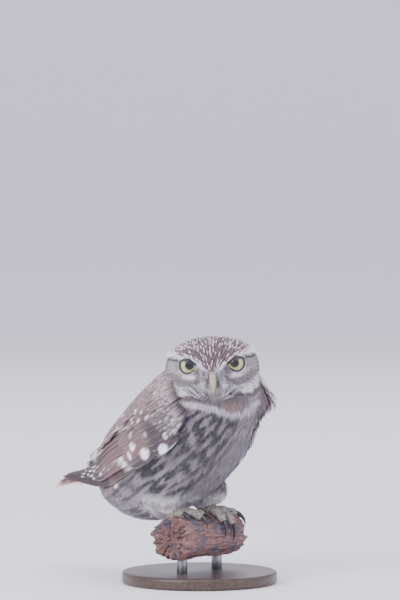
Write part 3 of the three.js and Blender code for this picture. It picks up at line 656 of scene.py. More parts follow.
# Skin with down: a dull matt ground, a little darker than the feathers over it
down = painted_material("bird_skin_with_down", {"Roughness": 0.95}, (0.6, 0.9), scale=0.8, detail=4.0)
rough = piece("rough_skin", *joined(flesh_forms), down)
fuse = rough.modifiers.new("fuse", "REMESH")
fuse.mode = "VOXEL"
fuse.voxel_size = SKIN_VOXEL * MM
ease_off = rough.modifiers.new("ease_off", "SMOOTH")
ease_off.factor = 0.5
ease_off.iterations = 5
bpy.context.view_layer.update()
skin_mesh = bpy.data.meshes.new_from_object(rough.evaluated_get(bpy.context.evaluated_depsgraph_get()))
bpy.data.objects.remove(rough)
skin_mesh.name = "skin"
skin_at = np.empty(len(skin_mesh.vertices) * 3)
skin_mesh.vertices.foreach_get("co", skin_at)
skin_at = skin_at.reshape(-1, 3) / MM
skin_normals = np.empty(len(skin_mesh.vertices) * 3)
skin_mesh.vertices.foreach_get("normal", skin_normals)
skin_normals = skin_normals.reshape(-1, 3)
skin_mesh.calc_loop_triangles()
skin_triangles = np.empty(len(skin_mesh.loop_triangles) * 3, np.int32)
skin_mesh.loop_triangles.foreach_get("vertices", skin_triangles)
skin_triangles = skin_triangles.reshape(-1, 3)
skin_tree = BVHTree.FromPolygons(skin_at.tolist(), skin_triangles.tolist())

# Markings
# Brown above, dark and banded below, with a pale face, belly and legs. The dark of the breast and of the
# bands below is partly the feathers' own brown and partly painted shade of the underside, and the vent's
# grey is painted shade on whitish down. The face is painted in the head's own millimetres: white brow
# lines and cheek crescents, brown bands and a pale ruff.

COLOURS = {
    "back": "#80696d",
    "nape": "#826f76",
    "crown": "#786066",
    # dark_band and breast: the feathers' own brown, darkened further by painted shade of the underside
    "dark_band": "#262129",
    "pale_band": "#bcafbe",
    "breast": "#373038",
    "chest": "#b6abb8",
    "belly": "#c2b8c5",
    "belly_dark": "#6d6570",
    # vent: whitish down, painted grey as painted shade under the body
    "vent": "#7c737e",
    "leg": "#fbf7fb",
    "disc": "#bcb3ba",
    "brow": "#fbf6fb",
    "cream": "#fbe9ea",
    "lore": "#d6ced7",
    "dark": "#39313a",
    "band": "#6f5f64",
    "chin": "#776a73",
    "rufous": "#9c8078",
    "ruff": "#ece3ec",
}



def pigment(hex_colour):
    """A colour to paint points with."""
    return np.array(linear(hex_colour)[:3])


PAINT = {name: pigment(value) for name, value in COLOURS.items()}
# Face marks: colour, half width, softness, strength, side (0 both), points right and up
FACE_MARKS = [
    ("band", 2.2, 1.4, 0.95, 0, [(33, -9), (32, -11.5), (25.8, -14.2), (18.5, -16.1), (12, -17.5)]),
    ("chin", 3.2, 2.0, 0.9, 0, [(0, -17), (9.7, -17.5)]),
    ("dark", 0.4, 1.6, 0.5, 0, [(4.5, -14.8), (12, -13.9)]),
    ("chin", 1.4, 2.0, 0.8, 1, [(3, -20.8), (12, -20), (21, -19)]),
    ("chin", 1.0, 2.0, 0.7, 1, [(6, -24.6), (16, -26)]),
    ("rufous", 1.4, 2.4, 0.8, 1, [(7, -22.3), (12, -23.3), (17.5, -22.8)]),
    ("ruff", 1.2, 1.8, 0.9, -1, [(39, -13), (30.6, -17.5), (23.6, -19.4), (12.7, -20.5), (-1.8, -24.7)]),
    ("ruff", 1.3, 1.8, 0.8, 1, [(1.8, -24.7), (10.4, -28.4), (17.6, -29), (23.9, -26.5), (28.5, -22)]),
    ("brow", 2.1, 1.4, 1.0, 0, [(31, -4.6), (28, -9), (24, -11.6), (18, -11.2), (9, -9.6)]),
    ("band", 1.3, 2.4, 0.55, 0, [(28, -1.5), (23, -4.6), (17, -6), (11, -5.6)]),
    ("brow", 0.8, 1.3, 0.9, 0, [(22, 1.5), (18.5, -1.4), (14, -2.2), (11, -1.6)]),
    ("dark", 0.5, 1.2, 0.75, 0, [(2.6, 1.2), (3.8, -3.5), (3.6, -9)]),
    ("dark", 1.0, 2.2, 0.6, 0, [(9.6, 2.4), (10.8, -0.2), (10.2, -1.8)]),
    # Painted shadow of the brow: a dark line under the brow's outer part, above the eye
    ("dark", 0.5, 0.7, 0.8, 0, [(22.5, 9.3), (29.5, 9.3)]),
    ("lore", 1.3, 1.2, 0.9, 0, [(5, 2.2), (6.9, 1), (6.6, -5)]),
    ("dark", 1.1, 1.2, 0.8, 1, [(16.2, -13.8), (18, -14.6)]),
    ("ruff", 1.8, 1.4, 0.85, 0, [(24, 13), (31, 13)]),
    ("brow", 0.7, 0.5, 1.0, 0, BROW_LINE[1:]),
]


def blend(under, over, share):
    return under + (over - under) * np.asarray(share)[..., None]


def drawn_noise(s, turn, ratio, length, seed):
    """Smooth noise over the body, drawn out along the lie of the feathers."""
    across = np.abs(turn) * 0.62 - 0.2 * s
    return ripple(np.stack([across * ratio, s, 9 * np.sign(turn)], -1), length, seed)


def markings(points):
    """The plumage's ground colour at points, for skin and coat alike."""
    s, turn = body_place(points)
    right, up, fore = head_place(points)
    low = np.abs(turn)
    ground = np.broadcast_to(PAINT["back"], points.shape).copy()
    under = soft_step(84, 98, low)
    pale = soft_step(-0.1, 0.35, drawn_noise(s, turn, 2.9, 25.0, 41))
    bands = blend(PAINT["dark_band"], PAINT["pale_band"], pale)
    spots = soft_step(0.0, 0.55, drawn_noise(s, turn, 2.4, 14.0, 43))
    chest = blend(PAINT["breast"], PAINT["chest"], 0.75 * spots)
    below = blend(bands, chest, soft_step(-2, 22, s + 0.25 * (low - 120)))
    below = blend(below, PAINT["chest"], 0.7 * soft_step(150, 172, low) * soft_step(-35, -10, s))
    ground = blend(ground, below, under)
    pale = soft_step(-0.45, 0.25, drawn_noise(s, turn, 2.8, 20.0, 47))
    belly = blend(PAINT["belly_dark"], PAINT["belly"], pale)
    ground = blend(ground, belly, under * soft_step(-22, -36, s + 0.2 * (100 - low)))
    # Painted shade: the underside is painted greyer towards the vent
    ground = blend(ground, PAINT["vent"], 0.5 * under * soft_step(-50, -60, s))
    on_leg = soft_step(62, 54, points[..., 2]) * soft_step(34, 28, points[..., 1])
    ground = blend(ground, PAINT["leg"], on_leg)
    collar = soft_step(-34, -26, up)
    behind = soft_step(8, -4, fore)
    ground = blend(ground, PAINT["nape"], collar * behind)
    ground = blend(ground, PAINT["nape"], collar * soft_step(26, 31, np.abs(right)) * (1 - behind))
    face = collar * (1 - behind)
    disc = face * soft_step(-26, -20, up - 0.18 * np.abs(right)) * soft_step(33, 30, np.abs(right))
    ground = blend(ground, PAINT["disc"], disc)
    above = soft_step(0, 1.5, up - brow_height(right))
    crown = soft_step(0, 1, above + behind * soft_step(-4, 2, up)) * collar
    ground = blend(ground, PAINT["crown"], crown)
    ragged = ripple(np.stack([right, up * 0.4, 0 * up], -1), 3.2, 61, 2)
    for colour, half, soft, strength, side, line in FACE_MARKS:
        r = right * side if side else np.abs(right)
        near = soft_step(half + soft, half, line_distance(r, up, line) + 0.5 * ragged)
        ground = blend(ground, PAINT[colour], near * strength * soft_step(0, 5, fore))
    return ground


def paint_points(mesh, colours):
    layer = mesh.color_attributes.new("plumage", "FLOAT_COLOR", "POINT")
    flat = np.concatenate([colours, np.ones(colours.shape[:-1] + (1,))], -1)
    layer.data.foreach_set("color", flat.astype(np.float32).ravel())


paint_points(skin_mesh, markings(skin_at))
skin_mesh.materials.clear()
skin_mesh.materials.append(down)
skin_mesh.polygons.foreach_set("use_smooth", np.full(len(skin_mesh.polygons), True))
skin = bpy.data.objects.new("skin", skin_mesh)
bpy.context.scene.collection.objects.link(skin)
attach(skin, "root")
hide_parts("torso", "neck", "head", "thigh_right", "thigh_left", "shank_right", "shank_left")

# Body feathers
# Soft feathers with a shaft and free barbs at the edge, rooted in the skin and laid towards the tail,
# from the face outwards on the head. Each lies over the next one behind it.


def along_skin(way, normals):
    """Ways laid flat on the skin and brought to length one."""
    return unit(way - normals * (way * normals).sum(1)[:, None], 1e-6)


def lay(points, normals):
    """The way the coat lies at points of the skin, along the skin."""
    right, up, fore = head_place(points)
    out = unit(np.stack([right, up + 3.0], -1), 0.5)
    head = out[:, :1] * RIGHT + out[:, 1:] * RISE - FORE * (0.9 - 0.5 * soft_step(10, 22, fore))[:, None]
    far = eye_distance(right, up)
    eye_way = (np.sign(right) * (np.abs(right) - EYE_APART))[:, None] * RIGHT + (up - EYE_UP)[:, None] * RISE
    eye_way /= np.maximum(far, 0.5)[:, None]
    under_brow = soft_step(1.5, -0.5, up - brow_height(right))
    near_eye = soft_step(14, 8, far) * under_brow * soft_step(6, 12, fore)
    head = head * (1 - near_eye)[:, None] + eye_way * near_eye[:, None]
    body = TAILWARD - UPRIGHT * (0.05 + 0.25 * soft_step(0, 25, body_place(points)[0]))[:, None]
    on_head = soft_step(-34, -16, up) * soft_step(112, 124, points[:, 2])
    way = body * (1 - on_head)[:, None] + head * on_head[:, None]
    way = way - UPRIGHT * (0.7 * soft_step(-8, -18, up) * on_head)[:, None]
    leg = soft_step(60, 54, points[:, 2]) * soft_step(34, 28, points[:, 1])
    way = way * (1 - leg)[:, None] + np.array([0.0, -0.8, -0.5]) * leg[:, None]
    return along_skin(way, normals)


def scatter(spacing_at, tries, seed):
    """Even, seeded roots over the skin, as far apart as spacing_at says."""
    random = np.random.default_rng(seed)
    a, b, c = (skin_at[skin_triangles[:, k]] for k in range(3))
    area = np.linalg.norm(np.cross(b - a, c - a), axis=1)
    pick = random.choice(len(area), tries, p=area / area.sum())
    u, v = random.random(tries), random.random(tries)
    flip = u + v > 1
    u, v = np.where(flip, 1 - u, u)[:, None], np.where(flip, 1 - v, v)[:, None]
    roots = a[pick] * (1 - u - v) + b[pick] * u + c[pick] * v
    na, nb, nc = (skin_normals[skin_triangles[pick, k]] for k in range(3))
    normals = unit(na * (1 - u - v) + nb * u + nc * v)
    spacing = spacing_at(roots)
    wanted = spacing > 0
    roots, normals, spacing = roots[wanted], normals[wanted], spacing[wanted]
    near = KDTree(len(roots))
    for i, root in enumerate(roots):
        near.insert(root, i)
    near.balance()
    alive = np.ones(len(roots), bool)
    for i, root in enumerate(roots):
        if alive[i]:
            for _, j, _ in near.find_range(root, spacing[i]):
                if j > i:
                    alive[j] = False
    return roots[alive], normals[alive]


STATIONS = 5


def follow(roots, normals, reach, way=None):
    """Spines of feathers: points and normals on the skin, marched along the lay of the coat."""
    spine, ups = [roots], [normals]
    at, up = roots, normals
    way = lay(at, up) if way is None else way
    step = (reach / (STATIONS - 1))[:, None]
    for _ in range(STATIONS - 1):
        ahead = at + way * step
        hits = [skin_tree.find_nearest(Vector(p)) for p in ahead]
        at = np.array([h[0] for h in hits])
        up = unit(up + 1.2 * np.array([h[1] for h in hits]))
        way = along_skin(way * 0.65 + lay(at, up) * 0.35, up)
        spine.append(at)
        ups.append(up)
    return np.stack(spine, 1), np.stack(ups, 1)


def plume_form(clumps, point, fringe, seed):
    """A closed body feather: vane to a shaft ridge, its edge split into clumps of barbs.

    Gives share of length, share of half width and height of each point, and the triangles."""
    random = np.random.default_rng(seed)
    t = np.linspace(0, 0.94, clumps + 1)
    rows = [(t_j, 0.0, 0.16 if 0 < j < clumps else 0.04) for j, t_j in enumerate(t)]
    rows += [(t_j, 0.0, -0.04) for t_j in t]
    upper, lower, triangles = 0, clumps + 1, []
    for side in (-1, 1):
        wide = np.sin(np.pi * np.clip(t, 0, 1) ** point) ** 0.7 * 0.9 + 0.1
        notch = len(rows)
        rows += [(min(t_j + 0.05, 0.97), side * w * (1 - fringe), 0.05) for t_j, w in zip(t, wide)]
        tips = len(rows)
        for j in range(clumps):
            reach = wide[j:j + 2].mean() * random.uniform(0.9, 1.08)
            tip_t = min(t[j] + 0.16 + random.uniform(-0.02, 0.05), 1.04)
            rows.append((tip_t, side * reach, random.uniform(-0.12, 0.1)))
        for j in range(clumps):
            a, b = upper + j, upper + j + 1
            la, lb = lower + j, lower + j + 1
            na, nb, tip = notch + j, notch + j + 1, tips + j
            fan = [(a, na, nb), (a, nb, b), (na, tip, nb), (la, tip, na), (la, lb, tip), (lb, nb, tip)]
            triangles += fan if side > 0 else [f[::-1] for f in fan]
        low_end = [(upper, lower, notch)]
        top_end = [(upper + clumps, notch + clumps, lower + clumps)]
        triangles += low_end + top_end if side > 0 else [f[::-1] for f in low_end + top_end]
    return np.array(rows), np.array(triangles)


def strand_form(strands, spread, thickness, seed):
    """A closed tuft of thin pointed strands that fan out from one root."""
    random = np.random.default_rng(seed)
    rows, triangles = [], []
    for k in range(strands):
        aim = ((k + 0.5) / strands * 2 - 1) * spread + random.uniform(-0.1, 0.1)
        length = random.uniform(0.75, 1.04) * (1 - 0.25 * abs(aim) / max(spread, 0.01))
        lean = random.uniform(-0.25, 0.35)
        start = len(rows)
        for t, thick in ((0.0, thickness), (0.55, 0.9 * thickness)):
            bend = aim * t ** 0.8
            for turn in (0.5, 2.6, 4.7):
                rise = lean * t + 0.35 * thick * math.sin(turn)
                rows.append((t * length, bend + thick * math.cos(turn), rise))
        rows.append((length, aim, lean))
        for j in range(3):
            a, b = start + j, start + (j + 1) % 3
            triangles += [(a, b, b + 3), (a, b + 3, a + 3), (a + 3, b + 3, start + 6)]
        triangles.append((start + 2, start + 1, start))
    return np.array(rows), np.array(triangles)


def unwrap(points):
    """Flat place of roots on the skin's own shape, for the bake of the colours."""
    s, turn = body_place(points)
    right, up, fore = head_place(points)
    on_head = up > -20
    around = np.where(on_head, np.degrees(np.arctan2(right, fore)), turn) / 360 + 0.5
    height = np.where(on_head, 0.72 + 0.25 * up / 26, 0.05 + 0.5 * (s + 75) / 150)
    return np.clip(np.stack([around, height], -1), 0.01, 0.985)


def set_uv(mesh, name, values):
    layer = mesh.uv_layers.new(name=name)
    corners = np.empty(len(mesh.loops), np.int32)
    mesh.loops.foreach_get("vertex_index", corners)
    layer.data.foreach_set("uv", values[corners].astype(np.float32).ravel())


# Size of one feather's patch on the unwrap, as a share of the whole
BAKE_PATCH = 0.003
# Body feather, grown: matt barbs 0.35 mm apart scatter the light, with a soft sheen at a low angle
plume = painted_material("feather_soft_barbs", {
    "Roughness": 0.85,
    "Sheen Weight": 0.25,
    "Sheen Roughness": 0.6,
    "Specular IOR Level": 0.25,
}, (0.86, 1.12), detail=2.0, barbs=(3.0, 34.0, 1.0))


def coat(name, forms, spine, ups, half, lift, colours):
    """One piece of coat: forms laid on spines, painted point by point."""
    all_points, all_faces, all_paint, all_bake, all_barbs, start = [], [], [], [], [], 0
    cells = unwrap(spine[:, 0])
    for k, (rows, triangles) in enumerate(forms):
        which = np.arange(k, len(spine), len(forms))
        t, q, height = rows.T
        place = np.clip(t, 0, 1.04) * (STATIONS - 1)
        i = np.clip(place.astype(int), 0, STATIONS - 2)
        f = (place - i)[None, :, None]
        line, rise = spine[which], ups[which]
        at = line[:, i] * (1 - f) + line[:, i + 1] * f
        run = unit(line[:, i + 1] - line[:, i], 1e-9)
        up = unit(rise[:, i] * (1 - f) + rise[:, i + 1] * f)
        across = np.cross(run, up)
        rise_by = lift[which][:, None] * np.clip(t, 0, 1.05) ** 0.75
        wide = half[which][:, None]
        at = at + across * (q * wide)[..., None]
        at = at + up * (rise_by + height * wide - 0.12 * wide * q ** 2 - 0.15)[..., None]
        all_points.append(at.reshape(-1, 3))
        offsets = start + np.arange(len(which))[:, None, None] * len(rows)
        all_faces.append((triangles[None] + offsets).reshape(-1, 3))
        all_paint.append(colours(which, t, q, at).reshape(-1, 3))
        patch = np.stack([q * 0.5, t - 0.5], -1) * BAKE_PATCH
        all_bake.append((cells[which][:, None] + patch).reshape(-1, 2))
        all_barbs.append(np.tile(np.stack([q * 0.5 + 0.5, t], -1), (len(which), 1)))
        start += len(which) * len(rows)
    made = piece(name, np.concatenate(all_points), [np.concatenate(all_faces)], plume)
    paint_points(made.data, np.clip(np.concatenate(all_paint), 0, 1))
    set_uv(made.data, "OFBake", np.concatenate(all_bake))
    set_uv(made.data, "Barbs", np.concatenate(all_barbs))


PLUMES = [plume_form(7, 0.8, 0.5, seed) for seed in (1, 2, 3, 4)]
SMALL_PLUMES = [plume_form(5, 0.8, 0.45, seed) for seed in (11, 12, 13)]
DOWN = [strand_form(9, 0.85, 0.1, seed) for seed in (21, 22, 23, 24)]
TUFTS = [strand_form(5, 0.6, 0.17, seed) for seed in (31, 32, 33)]
BRISTLES = [strand_form(1, 0.6, 1.0, seed) for seed in (41, 42)]

# Back and rump
# Brown feathers with a soft edge, and a pale spot near the tip of about one in three.

BACK_APART = 2.9
BACK_LONG = 12.5
BACK_HALF = 3.2
BACK_LIFT = 1.8


def region(points):
    """What lies at each point: its measures on the body and head, and the part of the coat there."""
    s, turn = body_place(points)
    right, up, fore = head_place(points)
    low = np.abs(turn)
    at = {"s": s, "turn": turn, "low": low, "right": right, "up": up, "fore": fore}
    head = up > -27 + 0.12 * np.abs(right)
    at["face"] = head & (fore > 5) & (up < brow_height(right) + 0.3)
    at["crown"] = head & ~at["face"] & ((up > -3) | (fore > 9))
    neck = ~at["face"] & ~at["crown"]
    at["throat"] = neck & (up > -36) & (fore > 4)
    at["nape"] = neck & ~at["throat"] & (s > 34) & (fore <= 4)
    leg = (points[:, 2] < 57) & (points[:, 1] < 32) & ~head
    at["leg"] = leg
    edges = smooth_row(WING_EDGES, s)
    wing = (s > -58) & (s < 30) & (low > edges[:, 0] + 5) & (low < edges[:, 1] - 6) & ~head
    trunk = neck & ~at["throat"] & ~at["nape"] & ~leg & ~wing
    at["back"] = trunk & (low < 88)
    at["breast"] = trunk & (low >= 88) & (s > -28)
    at["belly"] = trunk & (low >= 88) & (s <= -28)
    return at


def laid(spacing_at, tries, seed, length, way=None):
    """Roots and spines of a region's feathers; their length is one number or a function of place."""
    roots, normals = scatter(spacing_at, tries, seed)
    random = np.random.default_rng(seed + 1)
    length = (length(roots) if callable(length) else length) * random.uniform(0.85, 1.15, len(roots))
    spine, ups = follow(roots, normals, length, way(roots, normals) if way else None)
    return roots, spine, ups, random


def depth_shade(t, q, dark=0.72):
    """Feathers are darker towards the root, where the next one shades them."""
    return (dark + (1.03 - dark) * soft_step(0.05, 0.7, t)) * (1.02 - 0.04 * np.abs(q))


def by_place(tone):
    """A paint that takes the markings at each point, with one tone for each feather."""
    def paint(which, t, q, at):
        return markings(at) * tone[which][:, None, None] * depth_shade(t, q, 0.8)[None, :, None]

    return paint


def on_part(part, spacing):
    return lambda points: np.where(region(points)[part], spacing, 0)


roots, spine, ups, random = laid(on_part("back", BACK_APART), 120000, 101, BACK_LONG)
tone = random.uniform(0.9, 1.08, len(roots))[:, None, None]
flecked = (random.random(len(roots)) < 0.35)[:, None]
ground = markings(roots)[:, None]


def back_paint(which, t, q, at):
    spot = flecked[which] * soft_step(0.6, 0.68, t) * soft_step(0.92, 0.84, t)
    spot = spot * soft_step(0.6, 0.4, np.abs(q))
    colour = ground[which] * tone[which] * depth_shade(t, q)[None, :, None]
    return blend(colour, PAINT["brow"], 0.9 * spot)


half = np.full(len(roots), BACK_HALF)
lift = BACK_LIFT * random.uniform(0.8, 1.3, len(roots))
coat("coat_back", PLUMES, spine, ups, half, lift, back_paint)

# Nape and sides of the neck
# Looser brown feathers, each with a pale drop along the shaft; at the side of the neck they hang
# over the breast in a tuft that stands out.

NAPE_APART = 2.1
NAPE_LONG = 8.5


def nape_way(points, normals):
    way = lay(points, normals)
    right, up, fore = head_place(points)
    hang = soft_step(22, 30, np.abs(right))[:, None]
    way = way * (1 - hang) + (np.sign(right)[:, None] * RIGHT * 0.45 - RISE) * hang
    return along_skin(way, normals)


roots, spine, ups, random = laid(on_part("nape", NAPE_APART), 160000, 151, NAPE_LONG, nape_way)
tone = random.uniform(0.82, 1.1, len(roots))[:, None, None]
flecked = (random.random(len(roots)) < 0.72)[:, None]
ground = markings(roots)[:, None]


def nape_paint(which, t, q, at):
    drop = flecked[which] * soft_step(0.42, 0.6, t) * soft_step(1.0, 0.86, t)
    drop = drop * soft_step(0.5, 0.28, np.abs(q))
    colour = ground[which] * tone[which] * depth_shade(t, q)[None, :, None]
    return blend(colour, PAINT["ruff"], 0.75 * drop)


right, up, fore = head_place(roots)
tuft = soft_step(27, 33, right) * soft_step(-27, -20, up) * soft_step(-8, -15, up)
half = random.uniform(1.7, 2.3, len(roots))
lift = random.uniform(1.2, 2.4, len(roots)) + 3.0 * tuft * random.uniform(0.3, 1.2, len(roots))
coat("coat_nape", PLUMES, spine, ups, half, lift, nape_paint)

# Throat
# Fine soft feathers that hang under the chin: the pale ruff and the grey-brown between it and the
# breast.

THROAT_APART = 1.75
THROAT_LONG = 7.0
roots, spine, ups, random = laid(on_part("throat", THROAT_APART), 160000, 171, THROAT_LONG)
tone = random.uniform(0.86, 1.1, len(roots))
half = random.uniform(1.3, 1.8, len(roots))
lift = random.uniform(0.9, 1.9, len(roots))
coat("coat_throat", DOWN, spine, ups, half, lift, by_place(tone))

# Breast and flanks
# Long soft feathers, free at their edges, dark with pale blotches on the breast and with pale bands
# that slant over the flank. Their dark is partly their own brown and partly painted shade of the underside.

BREAST_APART = 2.35
BREAST_LONG = 11.5
roots, spine, ups, random = laid(on_part("breast", BREAST_APART), 160000, 201, BREAST_LONG)
tone = random.uniform(0.88, 1.1, len(roots))
half = random.uniform(2.2, 2.9, len(roots))
lift = random.uniform(1.3, 2.6, len(roots))
coat("coat_breast", DOWN, spine, ups, half, lift, by_place(tone))

# Belly and vent
# Loose pale feathers like down, whitish with a few brown streaks, that hang over the thighs. Towards the
# vent the markings paint them grey, as painted shade under the body.

BELLY_APART = 2.2
BELLY_LONG = 10.0
roots, spine, ups, random = laid(on_part("belly", BELLY_APART), 160000, 301, BELLY_LONG)
tone = random.uniform(0.88, 1.1, len(roots))
near_leg = soft_step(44, 34, roots[:, 1]) * soft_step(72, 62, roots[:, 2])
half = random.uniform(2.0, 2.7, len(roots))
lift = random.uniform(1.6, 3.0, len(roots)) * (1 - 0.7 * near_leg)
coat("coat_belly", DOWN, spine, ups, half, lift, by_place(tone))

# Legs
# Short, dense, hair-like white feathers from the thigh down to the root of the toes.

LEG_APART = 1.5
LEG_LONG = 5.0
roots, spine, ups, random = laid(on_part("leg", LEG_APART), 120000, 401, LEG_LONG)
tone = random.uniform(0.88, 1.08, len(roots))
half = random.uniform(0.9, 1.3, len(roots))
lift = random.uniform(0.5, 1.2, len(roots))
coat("coat_legs", TUFTS, spine, ups, half, lift, by_place(tone))

# Crown
# Small close feathers, brown with a pale streak along the shaft, from the bill back over the head.
# The feathers are smallest on the forehead.

CROWN_FRONT = 6.0
# On the forehead, and behind it
CROWN_APART = (1.55, 2.1)
CROWN_LONG = (5.2, 7.0)
CROWN_HALF = (1.15, 1.8)


def crown_spacing(points):
    at = region(points)
    return np.where(at["crown"], np.where(at["fore"] > CROWN_FRONT, *CROWN_APART), 0)


def crown_length(points):
    return np.where(head_place(points)[2] > CROWN_FRONT, *CROWN_LONG)


roots, spine, ups, random = laid(crown_spacing, 140000, 501, crown_length)
ahead = soft_step(17, 23, head_place(roots)[2])
tone = (random.uniform(0.76, 1.08, len(roots)) * (1 - 0.14 * ahead))[:, None, None]
streaked = (random.random(len(roots)) < 0.52 - 0.12 * ahead)[:, None]
ground = markings(roots)[:, None]


def crown_paint(which, t, q, at):
    streak = streaked[which] * soft_step(0.52, 0.3, np.abs(q))
    streak = streak * soft_step(0.2, 0.4, t) * soft_step(1.0, 0.86, t)
    colour = ground[which] * tone[which] * depth_shade(t, q, 0.62)[None, :, None]
    return blend(colour, PAINT["cream"], 0.85 * streak)


half = np.where(head_place(roots)[2] > CROWN_FRONT, *CROWN_HALF) * (1 - 0.25 * ahead)
lift = random.uniform(0.6, 1.2, len(roots))
coat("coat_crown", SMALL_PLUMES, spine, ups, half, lift, crown_paint)

# Face
# Stiff fine feathers that radiate from the eyes over the disc in thin dark and pale rays. The white
# brow lines and cheek crescents, the brown bands and the chin run across them.

# Distances between roots beside the eye, over the inner disc and by the bill, and further out
FACE_APART = (0.75, 0.95, 1.2)
# Distance from the eye's middle, length
FACE_LONG = [(6, 1.9), (9, 3.0), (13, 4.8)]


def face_spacing(points):
    at = region(points)
    far = eye_distance(at["right"], at["up"])
    off_bill = np.hypot(at["right"] / 3.0, (at["up"] + 8.5) / 8) > 1
    on = at["face"] & (from_eye(at["right"], at["up"]) > 1.14) & off_bill
    beside, inner, outer = FACE_APART
    apart = np.where((far < 12) | (np.abs(at["right"]) < 9), inner, outer)
    return np.where(on, np.where(far < 8.5, beside, apart), 0)


def face_length(points):
    right, up, fore = head_place(points)
    return np.interp(eye_distance(right, up), *np.array(FACE_LONG).T)


roots, spine, ups, random = laid(face_spacing, 200000, 601, face_length)
right, up, fore = head_place(roots)
far = eye_distance(right, up)
ticks = np.sin(right * 2.7 + 1.5 * np.sin(up * 0.6)) * soft_step(-14, -17, up)
tone = random.uniform(0.78, 1.16, len(roots)) * (1 - 0.35 * soft_step(0, 0.8, ticks))
speckled = swelling(np.abs(right), up, 10.6, 0.4, 2.4, 3.0) * (random.random(len(roots)) < 0.55)
tone = tone * (1 - 0.7 * speckled)


def face_paint(which, t, q, at):
    right, up, fore = head_place(at)
    bearing = np.arctan2(up - EYE_UP, np.abs(right) - EYE_APART)
    rays = np.sin(bearing * 44 + 1.6 * np.sin(bearing * 9)) * soft_step(-15, -8, up)
    rays = rays * soft_step(6.5, 9, eye_distance(right, up))
    shade = tone[which][:, None] * depth_shade(t, q, 0.75)[None, :] * (1 - 0.55 * soft_step(0.0, 0.7, rays))
    return markings(at) * shade[..., None]


half = np.where(far < 9, 0.55, 0.85) * random.uniform(0.85, 1.1, len(roots))
lift = random.uniform(0.4, 0.9, len(roots))
coat("coat_face", TUFTS, spine, ups, half, lift, face_paint)

# Brows
# Rows of narrow white feathers that run outwards along each brow and overhang the eye, brown in the
# upper row, and stand out in a pale tuft at their end.

BROW_ROWS = 5
BROW_START = 2.5
BROW_END = 30.5
BROW_APART = 0.42
BROW_ROW_APART = 0.55


def front_skin(right, up):
    """Points and normals on the front of the head, by their place across and up the face."""
    places, normals = [], []
    for ahead, beside in zip(head_point(right, up, 60.0 + 0 * right), head_point(right, up, 8.0 + 0 * right)):
        hit = skin_tree.ray_cast(Vector(ahead), Vector(-FORE))
        if hit[0] is None:
            hit = skin_tree.find_nearest(Vector(beside))
        places.append(hit[0])
        normals.append(hit[1])
    return np.array(places), np.array(normals)


random = np.random.default_rng(650)
along_brow = np.arange(BROW_START, BROW_END, BROW_APART)
rows = range(BROW_ROWS)
side, r, row = np.array([[side, r, row] for side in (-1, 1) for row in rows for r in along_brow]).T
r = r + random.uniform(-0.25, 0.25, len(r))
roots, normals = front_skin(side * r, brow_height(r) - 0.25 + BROW_ROW_APART * row)
slope = (brow_height(r + 1) - brow_height(r - 1)) / 2 + 0.05 * row
way = along_skin(side[:, None] * RIGHT + (slope + 0.7 * soft_step(23, 28, r))[:, None] * RISE, normals)
spine, ups = follow(roots, normals, random.uniform(2.8, 3.8, len(r)) + 4.0 * soft_step(21, 26, r), way)
shown = blend(np.broadcast_to(PAINT["crown"], roots.shape), PAINT["brow"], soft_step(2.6, 1.4, row))
shown = blend(shown, PAINT["brow"], soft_step(19, 25, r)) * random.uniform(0.9, 1.06, len(r))[:, None]


def brow_paint(which, t, q, at):
    return shown[which][:, None] * depth_shade(t, q, 0.85)[None, :, None]


half = random.uniform(0.3, 0.44, len(r)) + 0.15 * soft_step(21, 26, r)
lift = random.uniform(0.4, 0.8, len(r)) + 2.2 * soft_step(22, 28, r) * random.uniform(0.2, 1.2, len(r))
coat("coat_brow", SMALL_PLUMES, spine, ups, half, lift, brow_paint)

# Bristles
# Single stiff bristles, black and white by turns: some hang from the lores over the root of the bill,
# the others sweep from the cheek to below its tip.

CHEEK_BRISTLES = 64
LORE_BRISTLES = 30
BRISTLE_HALF = 0.17
random = np.random.default_rng(680)
starts, middles, ends, shades = [], [], [], []
for side in (-1, 1):
    for k, u in enumerate(np.linspace(0, 1, CHEEK_BRISTLES)):
        u = u + random.uniform(-0.03, 0.03)
        early = random.uniform(-3.5, 3.0)
        late = random.uniform(0, 3.5)
        starts.append([side * (10 + 8.5 * u + early), -7.6 - 3.8 * u + 0.6 * early])
        middles.append([side * (6.4 + 4.8 * u + 0.5 * late), -12.8 - 2.6 * u + random.uniform(-0.6, 0.6)])
        ends.append([side * (0.8 + 2.6 * u + late), -17 - 1.8 * u + 0.5 * late + random.uniform(-0.6, 0.6)])
        if k % 2:
            shades.append(PAINT["dark"] * random.uniform(0.7, 1.6))
        else:
            shades.append(PAINT["ruff"] * random.uniform(0.6, 0.95))
    for k in range(LORE_BRISTLES):
        u = random.random()
        starts.append([side * (1.2 + 3.6 * u), 3.6 - 1.2 * u + random.uniform(-0.4, 0.4)])
        middles.append([side * (2.6 + 3.4 * u), -1.5 + random.uniform(-0.8, 0.8)])
        ends.append([side * (3.6 + 3.6 * u), -6.0 + random.uniform(-2, 1.5)])
        shades.append(PAINT["dark"] if random.random() < 0.35 else PAINT["lore"])
starts, middles, ends = (np.array(v) for v in (starts, middles, ends))
stations = []
for t in np.linspace(0, 1, STATIONS):
    stations.append(starts * (1 - t) * (1 - 2 * t) + middles * 4 * t * (1 - t) + ends * t * (2 * t - 1))
found = [front_skin(at[:, 0], at[:, 1]) for at in stations]
ups = np.stack([f[1] for f in found], 1)
spine = np.stack([f[0] for f in found], 1) + 0.7 * ups + np.linspace(0.0, 1.8, STATIONS)[:, None] * FORE
shades = np.array(shades)


def bristle_paint(which, t, q, at):
    return np.broadcast_to(shades[which][:, None], at.shape)


half = np.full(len(spine), BRISTLE_HALF)
lift = random.uniform(0.6, 1.2, len(spine))
coat("coat_bristles", BRISTLES, spine, ups, half, lift, bristle_paint)

# Wings
# Each wing is folded flat on the flank: primaries and secondaries under rows of coverts, with the
# scapulars lying over them from the shoulder. Vanes are stiff, each over the one outside it.


